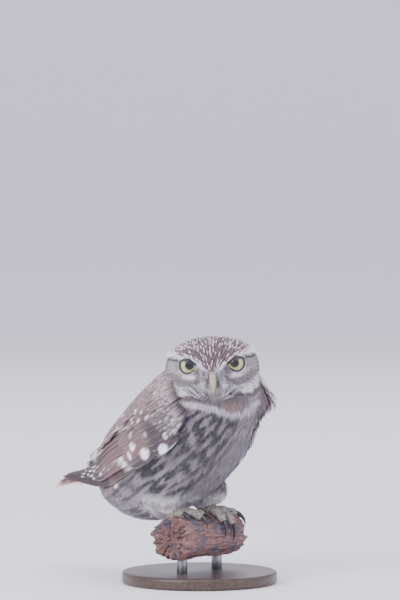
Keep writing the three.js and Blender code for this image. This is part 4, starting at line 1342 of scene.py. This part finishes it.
def slab_faces(rows, cols):
    """Faces of a closed thin plate whose upper grid of points comes first, then the lower."""
    upper = grid_faces(rows, cols, False)
    lower = upper[:, ::-1] + rows * cols
    rim = [i * cols for i in range(rows - 1, 0, -1)] + list(range(cols - 1))
    rim += [i * cols + cols - 1 for i in range(rows - 1)]
    rim += [(rows - 1) * cols + j for j in range(cols - 1, 0, -1)]
    rim = np.array(rim)
    after = np.roll(rim, -1)
    return np.concatenate([upper, lower, np.stack([rim, rim + rows * cols, after + rows * cols, after], -1)])


VANE_ROWS = 26
VANE_COLS = 11
VANE_THICK = 0.34
SHAFT_HIGH = 0.22
LIFT_PACE = 1.25
# Kind, count, half width, lean, then rows of: root place, root degrees, tip place, tip degrees,
# lift at the root and at the tip, read evenly from the outermost feather to the innermost
TIERS = [
    ("primary", 7, 4.0, 0.19, [
        [-14, 92, -86, 60, -1.1, -0.1],
        [-14, 87, -85, 53, -0.75, 0.82],
        [-11, 82, -80, 48, -0.45, 1.75],
        [-9, 75, -73, 46, 0.2, 2.8],
    ]),
    ("secondary", 10, 4.2, 0.29, [
        [5, 91, -58, 68, 1.7, 5.4],
        [4, 79, -60, 57, 1.1, 4.95],
        [4, 67, -61, 46, 0.6, 4.6],
        [4, 55, -60, 35, 0.1, 5.0],
        [4, 43, -56, 24, -0.3, 5.4],
        [4, 30, -50, 13, -0.7, 5.4],
    ]),
    ("greater_covert", 9, 4.4, 0.22, [
        [17, 98, -14, 91, 1.2, 6.0],
        [17, 87, -16, 81, 1.2, 5.8],
        [17, 76, -17, 71, 1.1, 5.5],
        [17, 65, -17, 61, 1.0, 5.2],
        [17, 54, -16, 51, 0.9, 4.9],
    ]),
    ("median_covert", 9, 4.4, 0.22, [
        [29, 105, 8, 97, 1.3, 5.4],
        [29, 94.5, 6, 87, 1.6, 5.6],
        [29, 84, 5, 76, 1.6, 5.6],
        [29, 74, 5, 66, 1.6, 5.6],
        [29, 64, 6, 56, 1.6, 5.6],
    ]),
    ("scapular", 7, 4.4, 0.33, [
        [22, 43, -9, 40, 1.0, 5.2],
        [21, 34.5, -13, 31, 1.0, 5.2],
        [20, 26, -17, 22, 1.0, 5.2],
        [19, 18, -21, 13, 1.0, 5.2],
    ]),
]
# White spots of the closed wing: place, degrees, half length and half width in mm, strength
WING_SPOTS = [
    (15.5, 104, 3.9, 2.8, 1.0),
    (0.5, 93, 3.4, 3.1, 1.0),
    (-5.5, 80, 2.4, 2.4, 1.0),
    (-11, 84, 1.6, 2.6, 0.9),
    (-21, 80, 3.1, 2.1, 0.9),
    (-20.5, 87, 2.7, 2.5, 1.0),
    (-26.5, 76, 1.8, 1.5, 0.6),
    (-50.5, 37, 3.8, 4.0, 1.0),
    (-34.5, 78, 0.9, 1.5, 0.6),
    (23, 97, 1.9, 1.9, 0.9),
    (35.5, 102, 2.1, 1.5, 0.6),
    (31, 102, 2.1, 1.8, 0.5),
    (34, 93, 1.0, 1.0, 0.7),
    (-9.5, 38, 1.4, 1.4, 0.9),
    (7, 54, 1.4, 1.4, 0.9),
    (14, 62, 1.2, 1.2, 0.8),
    (1, 59, 2.0, 1.0, 0.8),
    (9, 66, 2.0, 1.0, 0.8),
    (17, 71, 2.0, 0.9, 0.7),
    (-15.5, 48, 1.2, 1.2, 0.8),
    (-3.5, 69, 1.0, 1.9, 0.7),
    (10, 82, 1.4, 1.8, 0.4),
    (24, 40, 1.4, 1.0, 0.8),
    (17, 30, 1.3, 1.1, 0.8),
    (29, 55, 1.3, 1.0, 0.7),
    (-58.5, 44, 1.4, 0.9, 0.9),
    (-52, 55, 1.8, 0.9, 0.9),
    (-51.5, 62, 1.1, 1.0, 0.9),
    (-62.5, 51, 1.4, 0.9, 0.9),
    (-59.5, 63, 1.4, 1.0, 0.9),
    (-55.5, 67, 1.4, 1.0, 0.8),
    (-46, 71, 1.4, 1.2, 0.9),
    (-40, 69, 1.0, 0.9, 0.8),
    (-49, 49, 1.6, 0.9, 0.8),
    (-56, 59, 1.6, 0.9, 0.9),
    (-65, 57, 1.6, 0.9, 0.8),
    (-57, 50, 1.4, 0.8, 0.8),
    (-48, 60, 1.4, 0.9, 0.8),
    (-63, 46, 1.4, 0.8, 0.8),
    (-54, 72, 1.4, 0.9, 0.7),
    (-67, 63, 1.6, 0.9, 0.7),
]
# Pale edges of feathers on the closed wing: half width in mm, strength, places and degrees
WING_LINES = [
    (0.45, 1.0, [(38, 112), (30, 111), (20.5, 108.5), (14, 108), (8.5, 106)]),
    (0.35, 0.6, [(-23.5, 45), (-13.5, 52), (-3, 60)]),
    (0.3, 0.5, [(-21.5, 26), (-13.5, 34)]),
    (0.35, 0.8, [(-13.5, 98), (-4.5, 102)]),
]
# Millimetres along the wing's round for each degree
WING_ARM = 0.63
PAINT["wing"] = pigment("#7a6564")
PAINT["wing_low"] = pigment("#4d4349")
PAINT["wing_front"] = pigment("#4c4249")
PAINT["wing_edge"] = pigment("#cfbdc0")
PAINT["rump"] = pigment("#544a50")


def wing_ground(s, degrees):
    """Ground colour of the closed wing, with its spots and the pale edges of single feathers."""
    ground = blend(PAINT["wing"], PAINT["wing_low"], soft_step(84, 98, degrees))
    ground = blend(ground, PAINT["wing_front"], soft_step(60, 84, degrees) * soft_step(4, 16, s))
    ground = blend(ground, PAINT["rump"], 0.9 * soft_step(-38, -50, s) * soft_step(22, 38, degrees))
    for half, strength, line in WING_LINES:
        near = line_distance(s, degrees * WING_ARM, [(a, b * WING_ARM) for a, b in line])
        ground = blend(ground, PAINT["brow"], strength * soft_step(half + 0.4, half, near))
    for spot_s, spot_degrees, long, wide, strength in WING_SPOTS:
        away = np.hypot((s - spot_s) / long, (degrees - spot_degrees) * WING_ARM / wide)
        ground = blend(ground, PAINT["brow"], strength * soft_step(1.2, 0.8, away))
    return ground


def wing_paint(kind, s, degrees, t, q):
    shade = 1.0 - 0.14 * soft_step(0.1, -0.5, q) * (kind != "scapular")
    streak = 0.4 * soft_step(0.16, 0.04, np.abs(q)) * soft_step(0.2, 0.5, t)
    bars = soft_step(0.3, 0.75, np.cos(2 * np.pi * (t * 5.0 + 0.1)))
    bars = bars * soft_step(0.1, 0.35, q) * soft_step(0.96, 0.86, q)
    bars = 0.3 * bars * soft_step(0.2, 0.4, t) * (kind == "primary")
    rim = soft_step(0.8, 0.97, q) * (0.15 + 0.3 * soft_step(0.6, 0.9, t))
    ground = wing_ground(s, degrees) * shade[..., None]
    pale = np.maximum(np.maximum(streak, bars), rim)
    return blend(ground, PAINT["wing_edge"], pale * soft_step(-58, -48, s))


# Flight feather, grown: a firm smooth vane with a faint gloss on top; its barbs run slanting from the
# shaft about 1 mm apart, three times as coarse as real ones, so that they show
quill = painted_material("feather_firm_vane", {
    "Roughness": 0.68,
    "Specular IOR Level": 0.3,
}, (0.84, 1.12), detail=2.0, barbs=(2.0, 55.0, 1.0))

# Share of a vane's length, share of its greatest width
VANE_WIDTH = [[0, 0.5], [0.3, 0.88], [0.6, 1.0], [0.85, 0.88], [0.95, 0.62], [1.0, 0.22]]


def vane_grid():
    """Shares of length and of width over a vane, closer together towards its tip."""
    t = np.sin(np.linspace(0, 1, VANE_ROWS) * np.pi / 2) ** 0.8
    q = np.linspace(-1, 1, VANE_COLS)
    return np.meshgrid(t, q, indexing="ij")


def vane_piece(name, vanes, material, nodes):
    """One piece made of many vanes; each is its points, its paint and its place on the unwrap."""
    faces = slab_faces(VANE_ROWS, VANE_COLS)
    size = 2 * VANE_ROWS * VANE_COLS
    t, q = vane_grid()
    points = np.concatenate([v[0] for v in vanes])
    faces = np.concatenate([faces + k * size for k in range(len(vanes))])
    made = piece(name, points, [faces], material, nodes)
    paint_points(made.data, np.clip(np.concatenate([v[1] for v in vanes]), 0, 1))
    patch = np.stack([q * 0.5, t - 0.5], -1).reshape(-1, 2) * BAKE_PATCH
    bake = [np.clip(v[2], 0.01, 0.985) + np.tile(patch, (2, 1)) for v in vanes]
    set_uv(made.data, "OFBake", np.concatenate(bake))
    barb = np.stack([q * 0.5 + 0.5, t + 0.12 * np.abs(q)], -1).reshape(-1, 2)
    set_uv(made.data, "Barbs", np.tile(barb, (2 * len(vanes), 1)))


def two_sides(upper, lower):
    """Points or colours of a vane's upper and lower side in one row."""
    return np.concatenate([upper.reshape(-1, 3), lower.reshape(-1, 3)])


def wing_vane(side, kind, half, lean, row):
    """One feather of the folded wing: its points, its colours and its place on the unwrap."""
    s0, a0, s1, a1, low, high = row
    t, q = vane_grid()
    off = q * half * np.interp(t, *np.array(VANE_WIDTH).T)
    s = s0 + (s1 - s0) * t
    degrees = a0 + (a1 - a0) * t
    base = smooth_row(WING_BASE, s)
    arm = np.hypot(base[..., 0] * np.cos(np.radians(degrees)), base[..., 2] * np.sin(np.radians(degrees)))
    run, turn = s1 - s0, np.radians(a1 - a0) * arm
    length = np.hypot(run, turn)
    s = s + off * turn / length
    degrees = degrees + np.degrees(-off * run / length / arm)
    lift = low + (high - low) * np.sin(np.minimum(t * LIFT_PACE, 1) * np.pi / 2)
    lift = lift + lean * soft_step(5, 45, a0) * off
    shaft = SHAFT_HIGH * np.exp(-((q * half + 0.15) / 0.5) ** 2)
    thin = VANE_THICK * (1 - 0.7 * np.abs(q) ** 4)
    upper = wing_point(side, s, degrees, lift + thin / 2 + shaft)
    lower = wing_point(side, s, degrees, lift - thin / 2)
    paint = wing_paint(kind, s, degrees, t, q)
    root = np.array([0.5 + side * a0 / 400, 0.05 + 0.5 * (s0 + 75) / 150])
    return two_sides(upper, lower), two_sides(paint, blend(paint, PAINT["vent"], 0.6)), root


for side, wing_name in ((-1, "right"), (1, "left")):
    random = np.random.default_rng(7 + side)
    vanes = []
    for kind, number, half_width, lean, rows in TIERS:
        table = np.array([[k / (len(rows) - 1)] + row for k, row in enumerate(rows)])
        for row in smooth_row(table, np.linspace(0, 1, number)):
            row = row + random.normal(size=6) * [0.3, 0.4, 0.9, 0.7, 0, 0.05]
            points, paint, root = wing_vane(side, kind, half_width, lean, row)
            vanes.append((points, paint * random.uniform(0.93, 1.06), root))
    vane_piece("wing_" + wing_name + "_vanes", vanes, quill, ["wing_" + wing_name])

# Mantle and lesser coverts
# Soft brown feathers, some with a white spot, that cover the roots of the wings from the shoulder
# back and lie over the scapulars in close rows.


def wing_place(points):
    """Place along the axis and degrees from the back's middle over the folded wing's bed."""
    s, off = axis_place(points)
    row = smooth_row(WING_BASE, s)
    return s, np.degrees(np.arctan2(np.abs(points[..., 0]) / row[..., 0], (off - row[..., 1]) / row[..., 2]))


# Place along the axis, and there the mantle's upper and lower edge in degrees and its height in mm
MANTLE_UPPER = [(-52, 0), (20, 0), (33, 16), (43, 50)]
MANTLE_LOWER = [(-54, 34), (-30, 46), (0, 52), (12, 62), (22, 78), (30, 103), (43, 100)]
MANTLE_HIGH = [(-60, 5.9), (-15, 6.3), (5, 5.8), (20, 4.6), (35, 3.3), (44, 2.0)]
MANTLE_ROW_APART = 2.2
MANTLE_DEGREES_APART = 3.6
MANTLE_TINT = np.array([0.97, 0.87, 0.94])
random = np.random.default_rng(900)
rows = []
for side in (-1, 1):
    for k, s in enumerate(np.arange(-52, 43, MANTLE_ROW_APART)):
        first = np.interp(s, *np.array(MANTLE_UPPER).T)
        last = np.interp(s, *np.array(MANTLE_LOWER).T)
        rows += [[side, s, d] for d in np.arange(first + 2 * (k % 2), last, MANTLE_DEGREES_APART)]
rows += [[1, s, 0.0] for s in np.arange(-53, 24, 1.6)]
rows = np.array(rows) + random.normal(size=(len(rows), 3)) * [0, 0.5, 0.7]
side, s, degrees = (v[:, None] for v in rows.T)
side = np.sign(side)
length = random.uniform(8.5, 11.5, len(rows))[:, None]
t = np.linspace(0, 1, STATIONS)
spot_s = s + 4 - length * t
spot_degrees = degrees - 0.16 * (length * t - 4)
high = np.interp(spot_s, *np.array(MANTLE_HIGH).T) * (0.72 + 0.28 * soft_step(0, 16, degrees)) - 0.5 + t
spine = wing_point(side, spot_s, spot_degrees, high)
ups = unit(wing_point(side, spot_s, spot_degrees, high + 1) - spine)
tone = random.uniform(0.84, 1.1, len(rows))[:, None, None]
near_neck = soft_step(24, 38, s[:, 0]) + 0.12
flecked = (random.random(len(rows)) < 0.75 * near_neck)[:, None]


def mantle_paint(which, t, q, at):
    colour = wing_ground(*wing_place(at)) * tone[which] * depth_shade(t, q, 0.7)[None, :, None]
    streak = 0.2 * soft_step(0.16, 0.05, np.abs(q)) * soft_step(0.2, 0.4, t)
    drop = soft_step(0.45, 0.6, t) * soft_step(1.0, 0.88, t) * soft_step(0.45, 0.25, np.abs(q))
    drop = 0.65 * flecked[which] * drop
    return blend(colour * MANTLE_TINT, PAINT["wing_edge"], np.maximum(streak, drop))


half = random.uniform(2.2, 2.9, len(rows))
lift = np.zeros(len(rows))
coat("coat_mantle", PLUMES, spine, ups, half, lift, mantle_paint)

# Tail
# Twelve short tail feathers, the middle pair on top, square ended, brown with pale bars.

TAIL_ROOT = np.array([0.0, 60, 76])
TAIL_TIP = np.array([0.0, 120.5, 61.5])
TAIL_ARCH = 0.022
TAIL_HALF = 3.8
TAIL_LEAN = 0.5
TAIL_BARS = 6.0
PAINT["tail"] = pigment("#b79c8e")
PAINT["tail_bar"] = pigment("#f2ddd0")


def tail_vane(root_x, tip_x, height, lean, shorter):
    """One tail feather: its points, its colours and its place on the unwrap."""
    t, q = vane_grid()
    off = q * TAIL_HALF * np.interp(t, *np.array(VANE_WIDTH).T)
    along = t * (1 - shorter / 61.0)
    x = root_x + (tip_x - root_x) * t + off
    rise = height + lean * TAIL_LEAN * off - TAIL_ARCH * x * x
    shaft = SHAFT_HIGH * np.exp(-((q * TAIL_HALF) / 0.5) ** 2)
    thin = VANE_THICK * (1 - 0.7 * np.abs(q) ** 4)
    line = TAIL_ROOT + (TAIL_TIP - TAIL_ROOT) * along[..., None]
    upper = line + np.stack([x, 0 * x, rise + thin / 2 + shaft], -1)
    lower = line + np.stack([x, 0 * x, rise - thin / 2], -1)
    bar = soft_step(-0.1, 0.45, np.cos(2 * np.pi * (t * TAIL_BARS + 0.12 + 0.03 * np.abs(q))))
    paint = blend(PAINT["tail"], PAINT["tail_bar"], 0.95 * bar * soft_step(0.2, 0.35, t))
    paint = blend(paint, PAINT["tail_bar"], 0.8 * soft_step(0.965, 0.99, t))
    return two_sides(upper, lower), two_sides(paint, paint * 0.9), np.array([0.5 + root_x / 100, 0.02])


vanes = [tail_vane(0.3, 0.6, 3.1, 0, 0), tail_vane(-0.3, -0.6, 2.2, 0, 0.3)]
for side in (-1, 1):
    for k in range(5):
        root_x, tip_x = side * (4 + 1.2 * k), side * (4.2 + 2 * k)
        vanes.append(tail_vane(root_x, tip_x, -0.35 * k, side, 0.6 + 0.45 * k))
vane_piece("tail_vanes", vanes, quill, ["tail"])

# Feet and claws
# Three toes forward and one back, set with small plates, clasp the limb; each ends in a dark, curved
# claw of horn.

TOE_ROOT = 3.3
TOE_TIP = 2.5
TOE_SINK = 0.8
CLAW_ROOT = 1.7
CLAW_TIP = 0.25
PAD_SIZE = [4.8, 5.2, 3.8]
PAD_HIGH = 2.6
TOE_SIDE = (1, 0.01, 0.3)
# For each toe, then its claw: places across the limb and degrees round it, from the root to the tip
FEET = {
    "right": {
        "hind": ([[-13, -22], [-12.5, -52], [-12, -84]], [[-12, -84], [-12, -104], [-11.5, -120]]),
        "inner": ([[-13, -25], [-8, 4], [-4, 26]], [[-4, 26], [-3, 40], [-3, 52]]),
        "middle": ([[-13, -25], [-11.5, 12], [-11, 40]], [[-11, 40], [-11, 54], [-11, 66]]),
        "outer": ([[-13, -22], [-18, -8], [-20.5, 14]], [[-20.5, 14], [-22, 28], [-22, 42]]),
    },
    "left": {
        "hind": ([[14, -5], [14, -40], [14, -72]], [[14, -72], [14, -94], [14, -110]]),
        "inner": ([[14, -5], [9, 30], [6, 58]], [[6, 58], [5.5, 74], [5.5, 88]]),
        "middle": ([[14, -5], [14, 34], [14, 66]], [[14, 66], [14, 84], [14, 98]]),
        "outer": ([[14, -5], [20, 20], [25, 40]], [[25, 40], [27, 56], [27.5, 70]]),
    },
}


def grip_path(places, t, clear):
    """Points over the limb along a smooth line of [across, degrees], held clear of it."""
    table = [[k / (len(places) - 1)] + list(p) for k, p in enumerate(places)]
    row = smooth_row(table, t)
    y, z = limb_rim(row[:, 1], clear)
    return np.stack([row[:, 0], y, z], -1)


# Toe skin, scaled: plates 1.2 mm across, dull and dry, darker in the creases
toe_skin, tree, shader, in_mm = new_material("toe_skin_scaled", {"Roughness": 0.7})
plates = add_node(tree, "ShaderNodeTexVoronoi", {"Scale": 0.85}, {"Vector": in_mm})
plate_tone = add_node(tree, "ShaderNodeValToRGB", {
    "stops": [(0.1, "#aaa39c"), (0.5, "#8d8680"), (0.8, "#5f585a")],
}, {"Fac": plates.outputs["Distance"]})
plate_bump = add_node(tree, "ShaderNodeBump", {"Strength": 0.5, "Distance": 0.4 * MM, "invert": True}, {
    "Height": plates.outputs["Distance"],
})
tree.links.new(plate_tone.outputs["Color"], shader.inputs["Base Color"])
tree.links.new(plate_bump.outputs["Normal"], shader.inputs["Normal"])
# Claw horn, grown: near black, smooth, with a low gloss and faint mottling
claw_horn, tree, shader, in_mm = new_material("claw_horn_smooth", {"Roughness": 0.35, "IOR": 1.54})
mottling = add_node(tree, "ShaderNodeTexNoise", {"Scale": 1.6, "Detail": 3.0}, {"Vector": in_mm})
claw_tone = add_node(tree, "ShaderNodeValToRGB", {"stops": [(0.35, "#211d22"), (0.65, "#443c43")]}, {
    "Fac": mottling.outputs["Fac"],
})
tree.links.new(claw_tone.outputs["Color"], shader.inputs["Base Color"])

for foot_side, toes in FEET.items():
    foot_forms = []
    t = np.linspace(0, 1, 30)
    for toe_name, (toe_places, claw_places) in toes.items():
        joints = 1 + 0.10 * np.cos(2 * np.pi * t * 2.5) + 0.03 * np.cos(2 * np.pi * t * 14)
        radius = TOE_ROOT + (TOE_TIP - TOE_ROOT) * t
        path = grip_path(toe_places, t, radius - TOE_SINK)
        foot_forms.append(tube_rings(path, radius * joints, 20, TOE_SIDE))
        u = np.linspace(0, 1, 18)
        thin = CLAW_ROOT + (CLAW_TIP - CLAW_ROOT) * u ** 1.3
        clear = TOE_TIP - TOE_SINK + 0.6 - (TOE_TIP - 0.9) * u ** 2 + thin * 0.2
        sizes = np.stack([thin * 0.82, thin], -1)
        rings = tube_rings(grip_path(claw_places, u, clear), sizes, 16, TOE_SIDE)
        claw_name = "claw_" + foot_side + "_" + toe_name
        piece(claw_name + "_horn", *closed_loft(rings), claw_horn, [claw_name])
    pad_x, pad_degrees = toes["inner"][0][0]
    pad_y, pad_z = limb_rim(pad_degrees, PAD_HIGH)
    foot_forms.append(egg_rings([pad_x, pad_y, pad_z], PAD_SIZE))
    foot_name = "foot_" + foot_side
    foot = piece(foot_name + "_skin", *joined(foot_forms), toe_skin, [foot_name])

# Bill
# A short hooked bill of horn, yellowish grey, deep set among the bristles. Painted shade darkens its
# sides and its root, so that the ridge shows paler.

# Share of length, place up and forward on the head, half width, half height
UPPER_BILL = [
    [0, -1, 19, 2.9, 3.6],
    [0.25, -1.4, 25.5, 2.9, 3.7],
    [0.5, -3.9, 28.4, 2.8, 3.5],
    [0.7, -7.3, 29.8, 2.4, 3],
    [0.88, -11, 29.4, 1.6, 2],
    [1, -14.1, 27.6, 0.4, 0.5],
]
LOWER_BILL = [
    [0, -8, 19, 2.3, 2],
    [0.4, -9.1, 24, 2.2, 1.9],
    [0.75, -10.8, 25.8, 1.7, 1.4],
    [1, -12.2, 26.5, 0.5, 0.5],
]
BILL_ROWS = 40
BILL_AROUND = 28
# Bill horn, grown: yellow grey, smooth, slightly translucent, with painted shade darker at the sides and the
# root
bill_horn = painted_material("bill_horn_smooth", {
    "Roughness": 0.4,
    "IOR": 1.54,
    "Subsurface Weight": 0.1,
    "Subsurface Radius": (0.001, 0.0006, 0.0003),
}, (0.86, 1.1), scale=0.35, detail=4.0)

for bill_name, rows in (("upper_bill", UPPER_BILL), ("lower_bill", LOWER_BILL)):
    t = np.linspace(0, 1, BILL_ROWS)
    row = smooth_row(rows, t)
    path = head_point(np.zeros(BILL_ROWS), row[:, 0], row[:, 1])
    rings = tube_rings(path, row[:, 2:], BILL_AROUND, RIGHT)
    bill = piece(bill_name + "_horn", *closed_loft(rings), bill_horn, [bill_name])
    # Painted shade: the sides of the bill, and its root under the bristles, are painted darker
    aside = np.abs(np.cos(np.linspace(0, 2 * np.pi, BILL_AROUND, endpoint=False)))
    dark = np.maximum(soft_step(0.6, 0.97, aside), soft_step(0.42, 0.2, t)[:, None])
    dark = np.concatenate([dark.reshape(-1), [1, 0]])
    paint_points(bill.data, blend(pigment("#ad9f8a"), pigment("#5f534c"), 0.85 * dark))

# Eyes
# Large eyes of a lemon iris and black pupil behind a clear, wet front, set deep under the brow and
# turned a little towards the bill.

IRIS = 5.9
PUPIL = 2.9
# Eye, wet: the iris is finely flecked, and the front has a sharp gloss
wet_eye = painted_material("eye_wet_iris", {
    "Roughness": 0.08,
    "IOR": 1.38,
    "Coat Weight": 0.15,
    "Coat Roughness": 0.02,
}, (0.88, 1.08), scale=1.5)

for side, eye_name in ((-1, "eye_right"), (1, "eye_left")):
    centre = head_point(side * EYE_APART, EYE_UP, EYE_FORE)
    gaze = unit(FORE - RIGHT * side * 0.10 + RISE * 0.07)
    across = unit(np.cross(RISE, gaze))
    rise = np.cross(gaze, across)
    polar = np.linspace(0, np.pi, 96)[1:-1, None, None]
    turn = np.linspace(0, 2 * np.pi, 80, endpoint=False)[:, None]
    ring = np.cos(turn) * across + np.sin(turn) * rise
    points, faces = closed_loft(centre + (np.sin(polar) * ring + np.cos(polar) * gaze) * EYE_RADIUS)
    eye = piece(eye_name + "_ball", points, faces, wet_eye, [eye_name])
    rel = points - centre
    out = np.linalg.norm(rel - (rel @ gaze)[:, None] * gaze, axis=1)
    out = np.where(rel @ gaze > 0, out, 99)
    shade = blend(pigment("#b6b681"), pigment("#97985c"), soft_step(4.2, 3.0, out))
    # The pupil is near black with a faint blue tint, a painted reflection
    shade = blend(shade, pigment("#1f1d27"), soft_step(PUPIL + 0.12, PUPIL - 0.12, out))
    shade = blend(shade, pigment("#4a4a34"), soft_step(IRIS - 0.7, IRIS - 0.1, out))
    # Painted shadow of the brow: the iris's upper part is darkened, most of all towards the bill
    painted_brow_shadow = soft_step(1.0, 2.5, rel @ RISE - 0.35 * side * (rel @ RIGHT)) * (rel @ gaze > 0)
    shade = blend(shade, pigment("#34323f"), 0.85 * painted_brow_shadow)
    paint_points(eye.data, shade)

# Lids
# A thin bare dark rim round each opening, with rows of short tufts outside it. The lids lie on the
# eyeball and run under the feathers; the brow cuts the opening off at a slant above.

# Distance out from the opening's edge and height over the eyeball, round the lid's section
LID_SECTION = [
    (0.0, -0.2), (-0.12, 0.1), (-0.08, 0.32), (0.1, 0.48), (0.45, 0.5), (0.9, 0.45), (1.6, 0.4), (2.4, 0.3),
    (2.5, -0.4),
]
LID_REACH = 7.9
LID_TUFT_ROWS = 4
LID_TUFT_LONG = 2.0
LID_TUFT_HALF = 0.42
# Lid skin: bare and near black at the rim, coloured like the face further out
lid_skin = painted_material("lid_skin_bare", {"Roughness": 0.5}, (0.8, 1.2), scale=1.8, seen=(0.0, 1.0))

for side, lid_name in ((-1, "lid_right"), (1, "lid_left")):
    turn = np.linspace(0, 2 * np.pi, 96, endpoint=False)
    reach = opening_reach(np.cos(turn), np.sin(turn))[:, None]
    for _ in range(4):
        reach = (np.roll(reach, 1, 0) + 2 * reach + np.roll(reach, -1, 0)) / 4
    out, over = np.array(LID_SECTION).T
    out = np.minimum(out, LID_REACH - reach)
    at_right = -np.cos(turn)[:, None] * (reach + out)
    at_up = np.sin(turn)[:, None] * (reach + out)
    fore = np.sqrt(np.maximum((EYE_RADIUS + over) ** 2 - at_right ** 2 - at_up ** 2, 1))
    rings = head_point(side * (EYE_APART + at_right), EYE_UP + at_up, EYE_FORE + fore)
    n, m = rings.shape[:2]
    i, j = np.meshgrid(np.arange(n), np.arange(m), indexing="ij")
    here, after, beside = i * m, (i + 1) % n * m, (j + 1) % m
    lid_faces = np.stack([here + j, after + j, after + beside, here + beside], -1).reshape(-1, 4)
    if side < 0:
        lid_faces = lid_faces[:, ::-1]
    lid = piece(lid_name, rings.reshape(-1, 3), [lid_faces], lid_skin)
    bare = np.broadcast_to(soft_step(1.4, 0.9, out), (n, m)).reshape(-1)
    paint_points(lid.data, blend(markings(rings.reshape(-1, 3)), pigment("#2f292f"), bare))

random = np.random.default_rng(700)
rows = range(LID_TUFT_ROWS)
places = [[side, turn, row] for side in (-1, 1) for row in rows for turn in np.arange(0, 6.28, 0.12)]
side, turn, row = np.array(places).T
turn = turn + random.uniform(-0.05, 0.05, len(turn))
start = opening_reach(np.cos(turn), np.sin(turn)) + 0.7 + 0.45 * row
out = start[:, None] + np.linspace(0, LID_TUFT_LONG, STATIONS)
at_right = EYE_APART - np.cos(turn)[:, None] * out
at_up = EYE_UP + np.sin(turn)[:, None] * out
fore = EYE_FORE + np.sqrt((EYE_RADIUS + 0.5) ** 2 - np.minimum(out, 8.1) ** 2)
spine = head_point(side[:, None] * at_right, at_up, fore)
ups = unit(spine - head_point(side * EYE_APART, EYE_UP, EYE_FORE + 0 * side)[:, None])
shown = markings(spine[:, 2]) * random.uniform(0.7, 1.1, len(turn))[:, None]


def lid_paint(which, t, q, at):
    return shown[which][:, None] * depth_shade(t, q, 0.7)[None, :, None]


half = np.full(len(turn), LID_TUFT_HALF)
lift = random.uniform(0.2, 0.5, len(turn))
coat("coat_lids", TUFTS, spine, ups, half, lift, lid_paint)

# Floor, light and camera
# A plain pale studio: the floor runs up into a backdrop, a large soft light stands on each side and
# one overhead, and the camera stands low in front of the bird's right side.

# Millimetres for each pixel of a picture 600 pixels high, and the middle of the view in pixels right
# of and above a point over the middle of the stand
PHOTO_SCALE = 0.67
PHOTO_HIGH = 600
VIEW_POINT = 34.0
VIEW_ASIDE = 0.5
VIEW_ABOVE = 232
AZIMUTH = math.radians(-50)
ELEVATION = math.radians(4)
CAMERA_FAR = 4.0
SENSOR = 36
view_right = Vector((math.cos(AZIMUTH), math.sin(AZIMUTH), 0))
view_flat = Vector((math.sin(AZIMUTH), -math.cos(AZIMUTH), 0))
view_back = view_flat * math.cos(ELEVATION) + Vector((0, 0, math.sin(ELEVATION)))
view_up = view_back.cross(view_right)
aim = Vector((0, 0, VIEW_POINT * MM))
aim += (view_right * VIEW_ASIDE + view_up * VIEW_ABOVE) * PHOTO_SCALE * MM
lens = bpy.data.cameras.new("camera")
lens.sensor_width = SENSOR
lens.sensor_fit = "AUTO"
lens.lens = SENSOR * CAMERA_FAR / (PHOTO_HIGH * PHOTO_SCALE * MM)
camera = bpy.data.objects.new("camera", lens)
camera.location = aim + view_back * CAMERA_FAR
camera.rotation_euler = view_back.to_track_quat("Z", "Y").to_euler()
bpy.context.scene.collection.objects.link(camera)
bpy.context.scene.camera = camera

# Paper, matt and pale, with no gloss
FLOOR_HALF = 6000.0
SWEEP_START = 4600.0
SWEEP_RADIUS = 900.0
WALL_TOP = 2600.0
paper, tree, shader, in_mm = new_material("paper_backdrop_matt", {
    "Base Color": linear("#f7f6f8"),
    "Roughness": 0.95,
})
sweep = [(-FLOOR_HALF, 0.0), (SWEEP_START, 0.0)]
for a in np.linspace(0.1, math.pi / 2, 12):
    sweep.append((SWEEP_START + SWEEP_RADIUS * math.sin(a), SWEEP_RADIUS - SWEEP_RADIUS * math.cos(a)))
sweep += [(SWEEP_START + SWEEP_RADIUS, WALL_TOP)]
floor_rows = []
for depth_mm, height_mm in sweep:
    for across_mm in (-FLOOR_HALF, FLOOR_HALF):
        floor_rows.append(view_right * across_mm - view_flat * depth_mm + Vector((0, 0, height_mm)))
floor = piece("studio_floor", np.array(floor_rows), [grid_faces(len(sweep), 2, False)], paper)
floor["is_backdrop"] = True

# Name, degrees round the stand, distance from its middle, height, size and power of each light
LIGHTS = [
    ("key", -95, 1.3, 0.7, 0.9, 18.0),
    ("fill", 10, 1.3, 0.4, 1.2, 6.5),
    ("top", -50, 0.3, 1.6, 1.0, 9.5),
    ("back", 130, 1.3, 1.1, 1.0, 8.0),
]
for name, azimuth, reach, high, size, power in LIGHTS:
    lamp = bpy.data.lights.new("studio_" + name, "AREA")
    lamp.size = size
    lamp.energy = power
    holder = bpy.data.objects.new("studio_" + name, lamp)
    turn = math.radians(azimuth)
    holder.location = (math.sin(turn) * reach, -math.cos(turn) * reach, high)
    holder.rotation_euler = (holder.location - Vector((0, 0, 0.1))).to_track_quat("Z", "Y").to_euler()
    bpy.context.scene.collection.objects.link(holder)
world = bpy.data.worlds.new("studio")
world.use_nodes = True
sky = world.node_tree.nodes["Background"]
sky.inputs["Color"].default_value = linear("#dcdaee")
sky.inputs["Strength"].default_value = 1.35
bpy.context.scene.world = world

bpy.context.view_layer.update()
sizes = {"cad": [list(v) for v in cad_box], "visual": [list(v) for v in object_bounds()]}
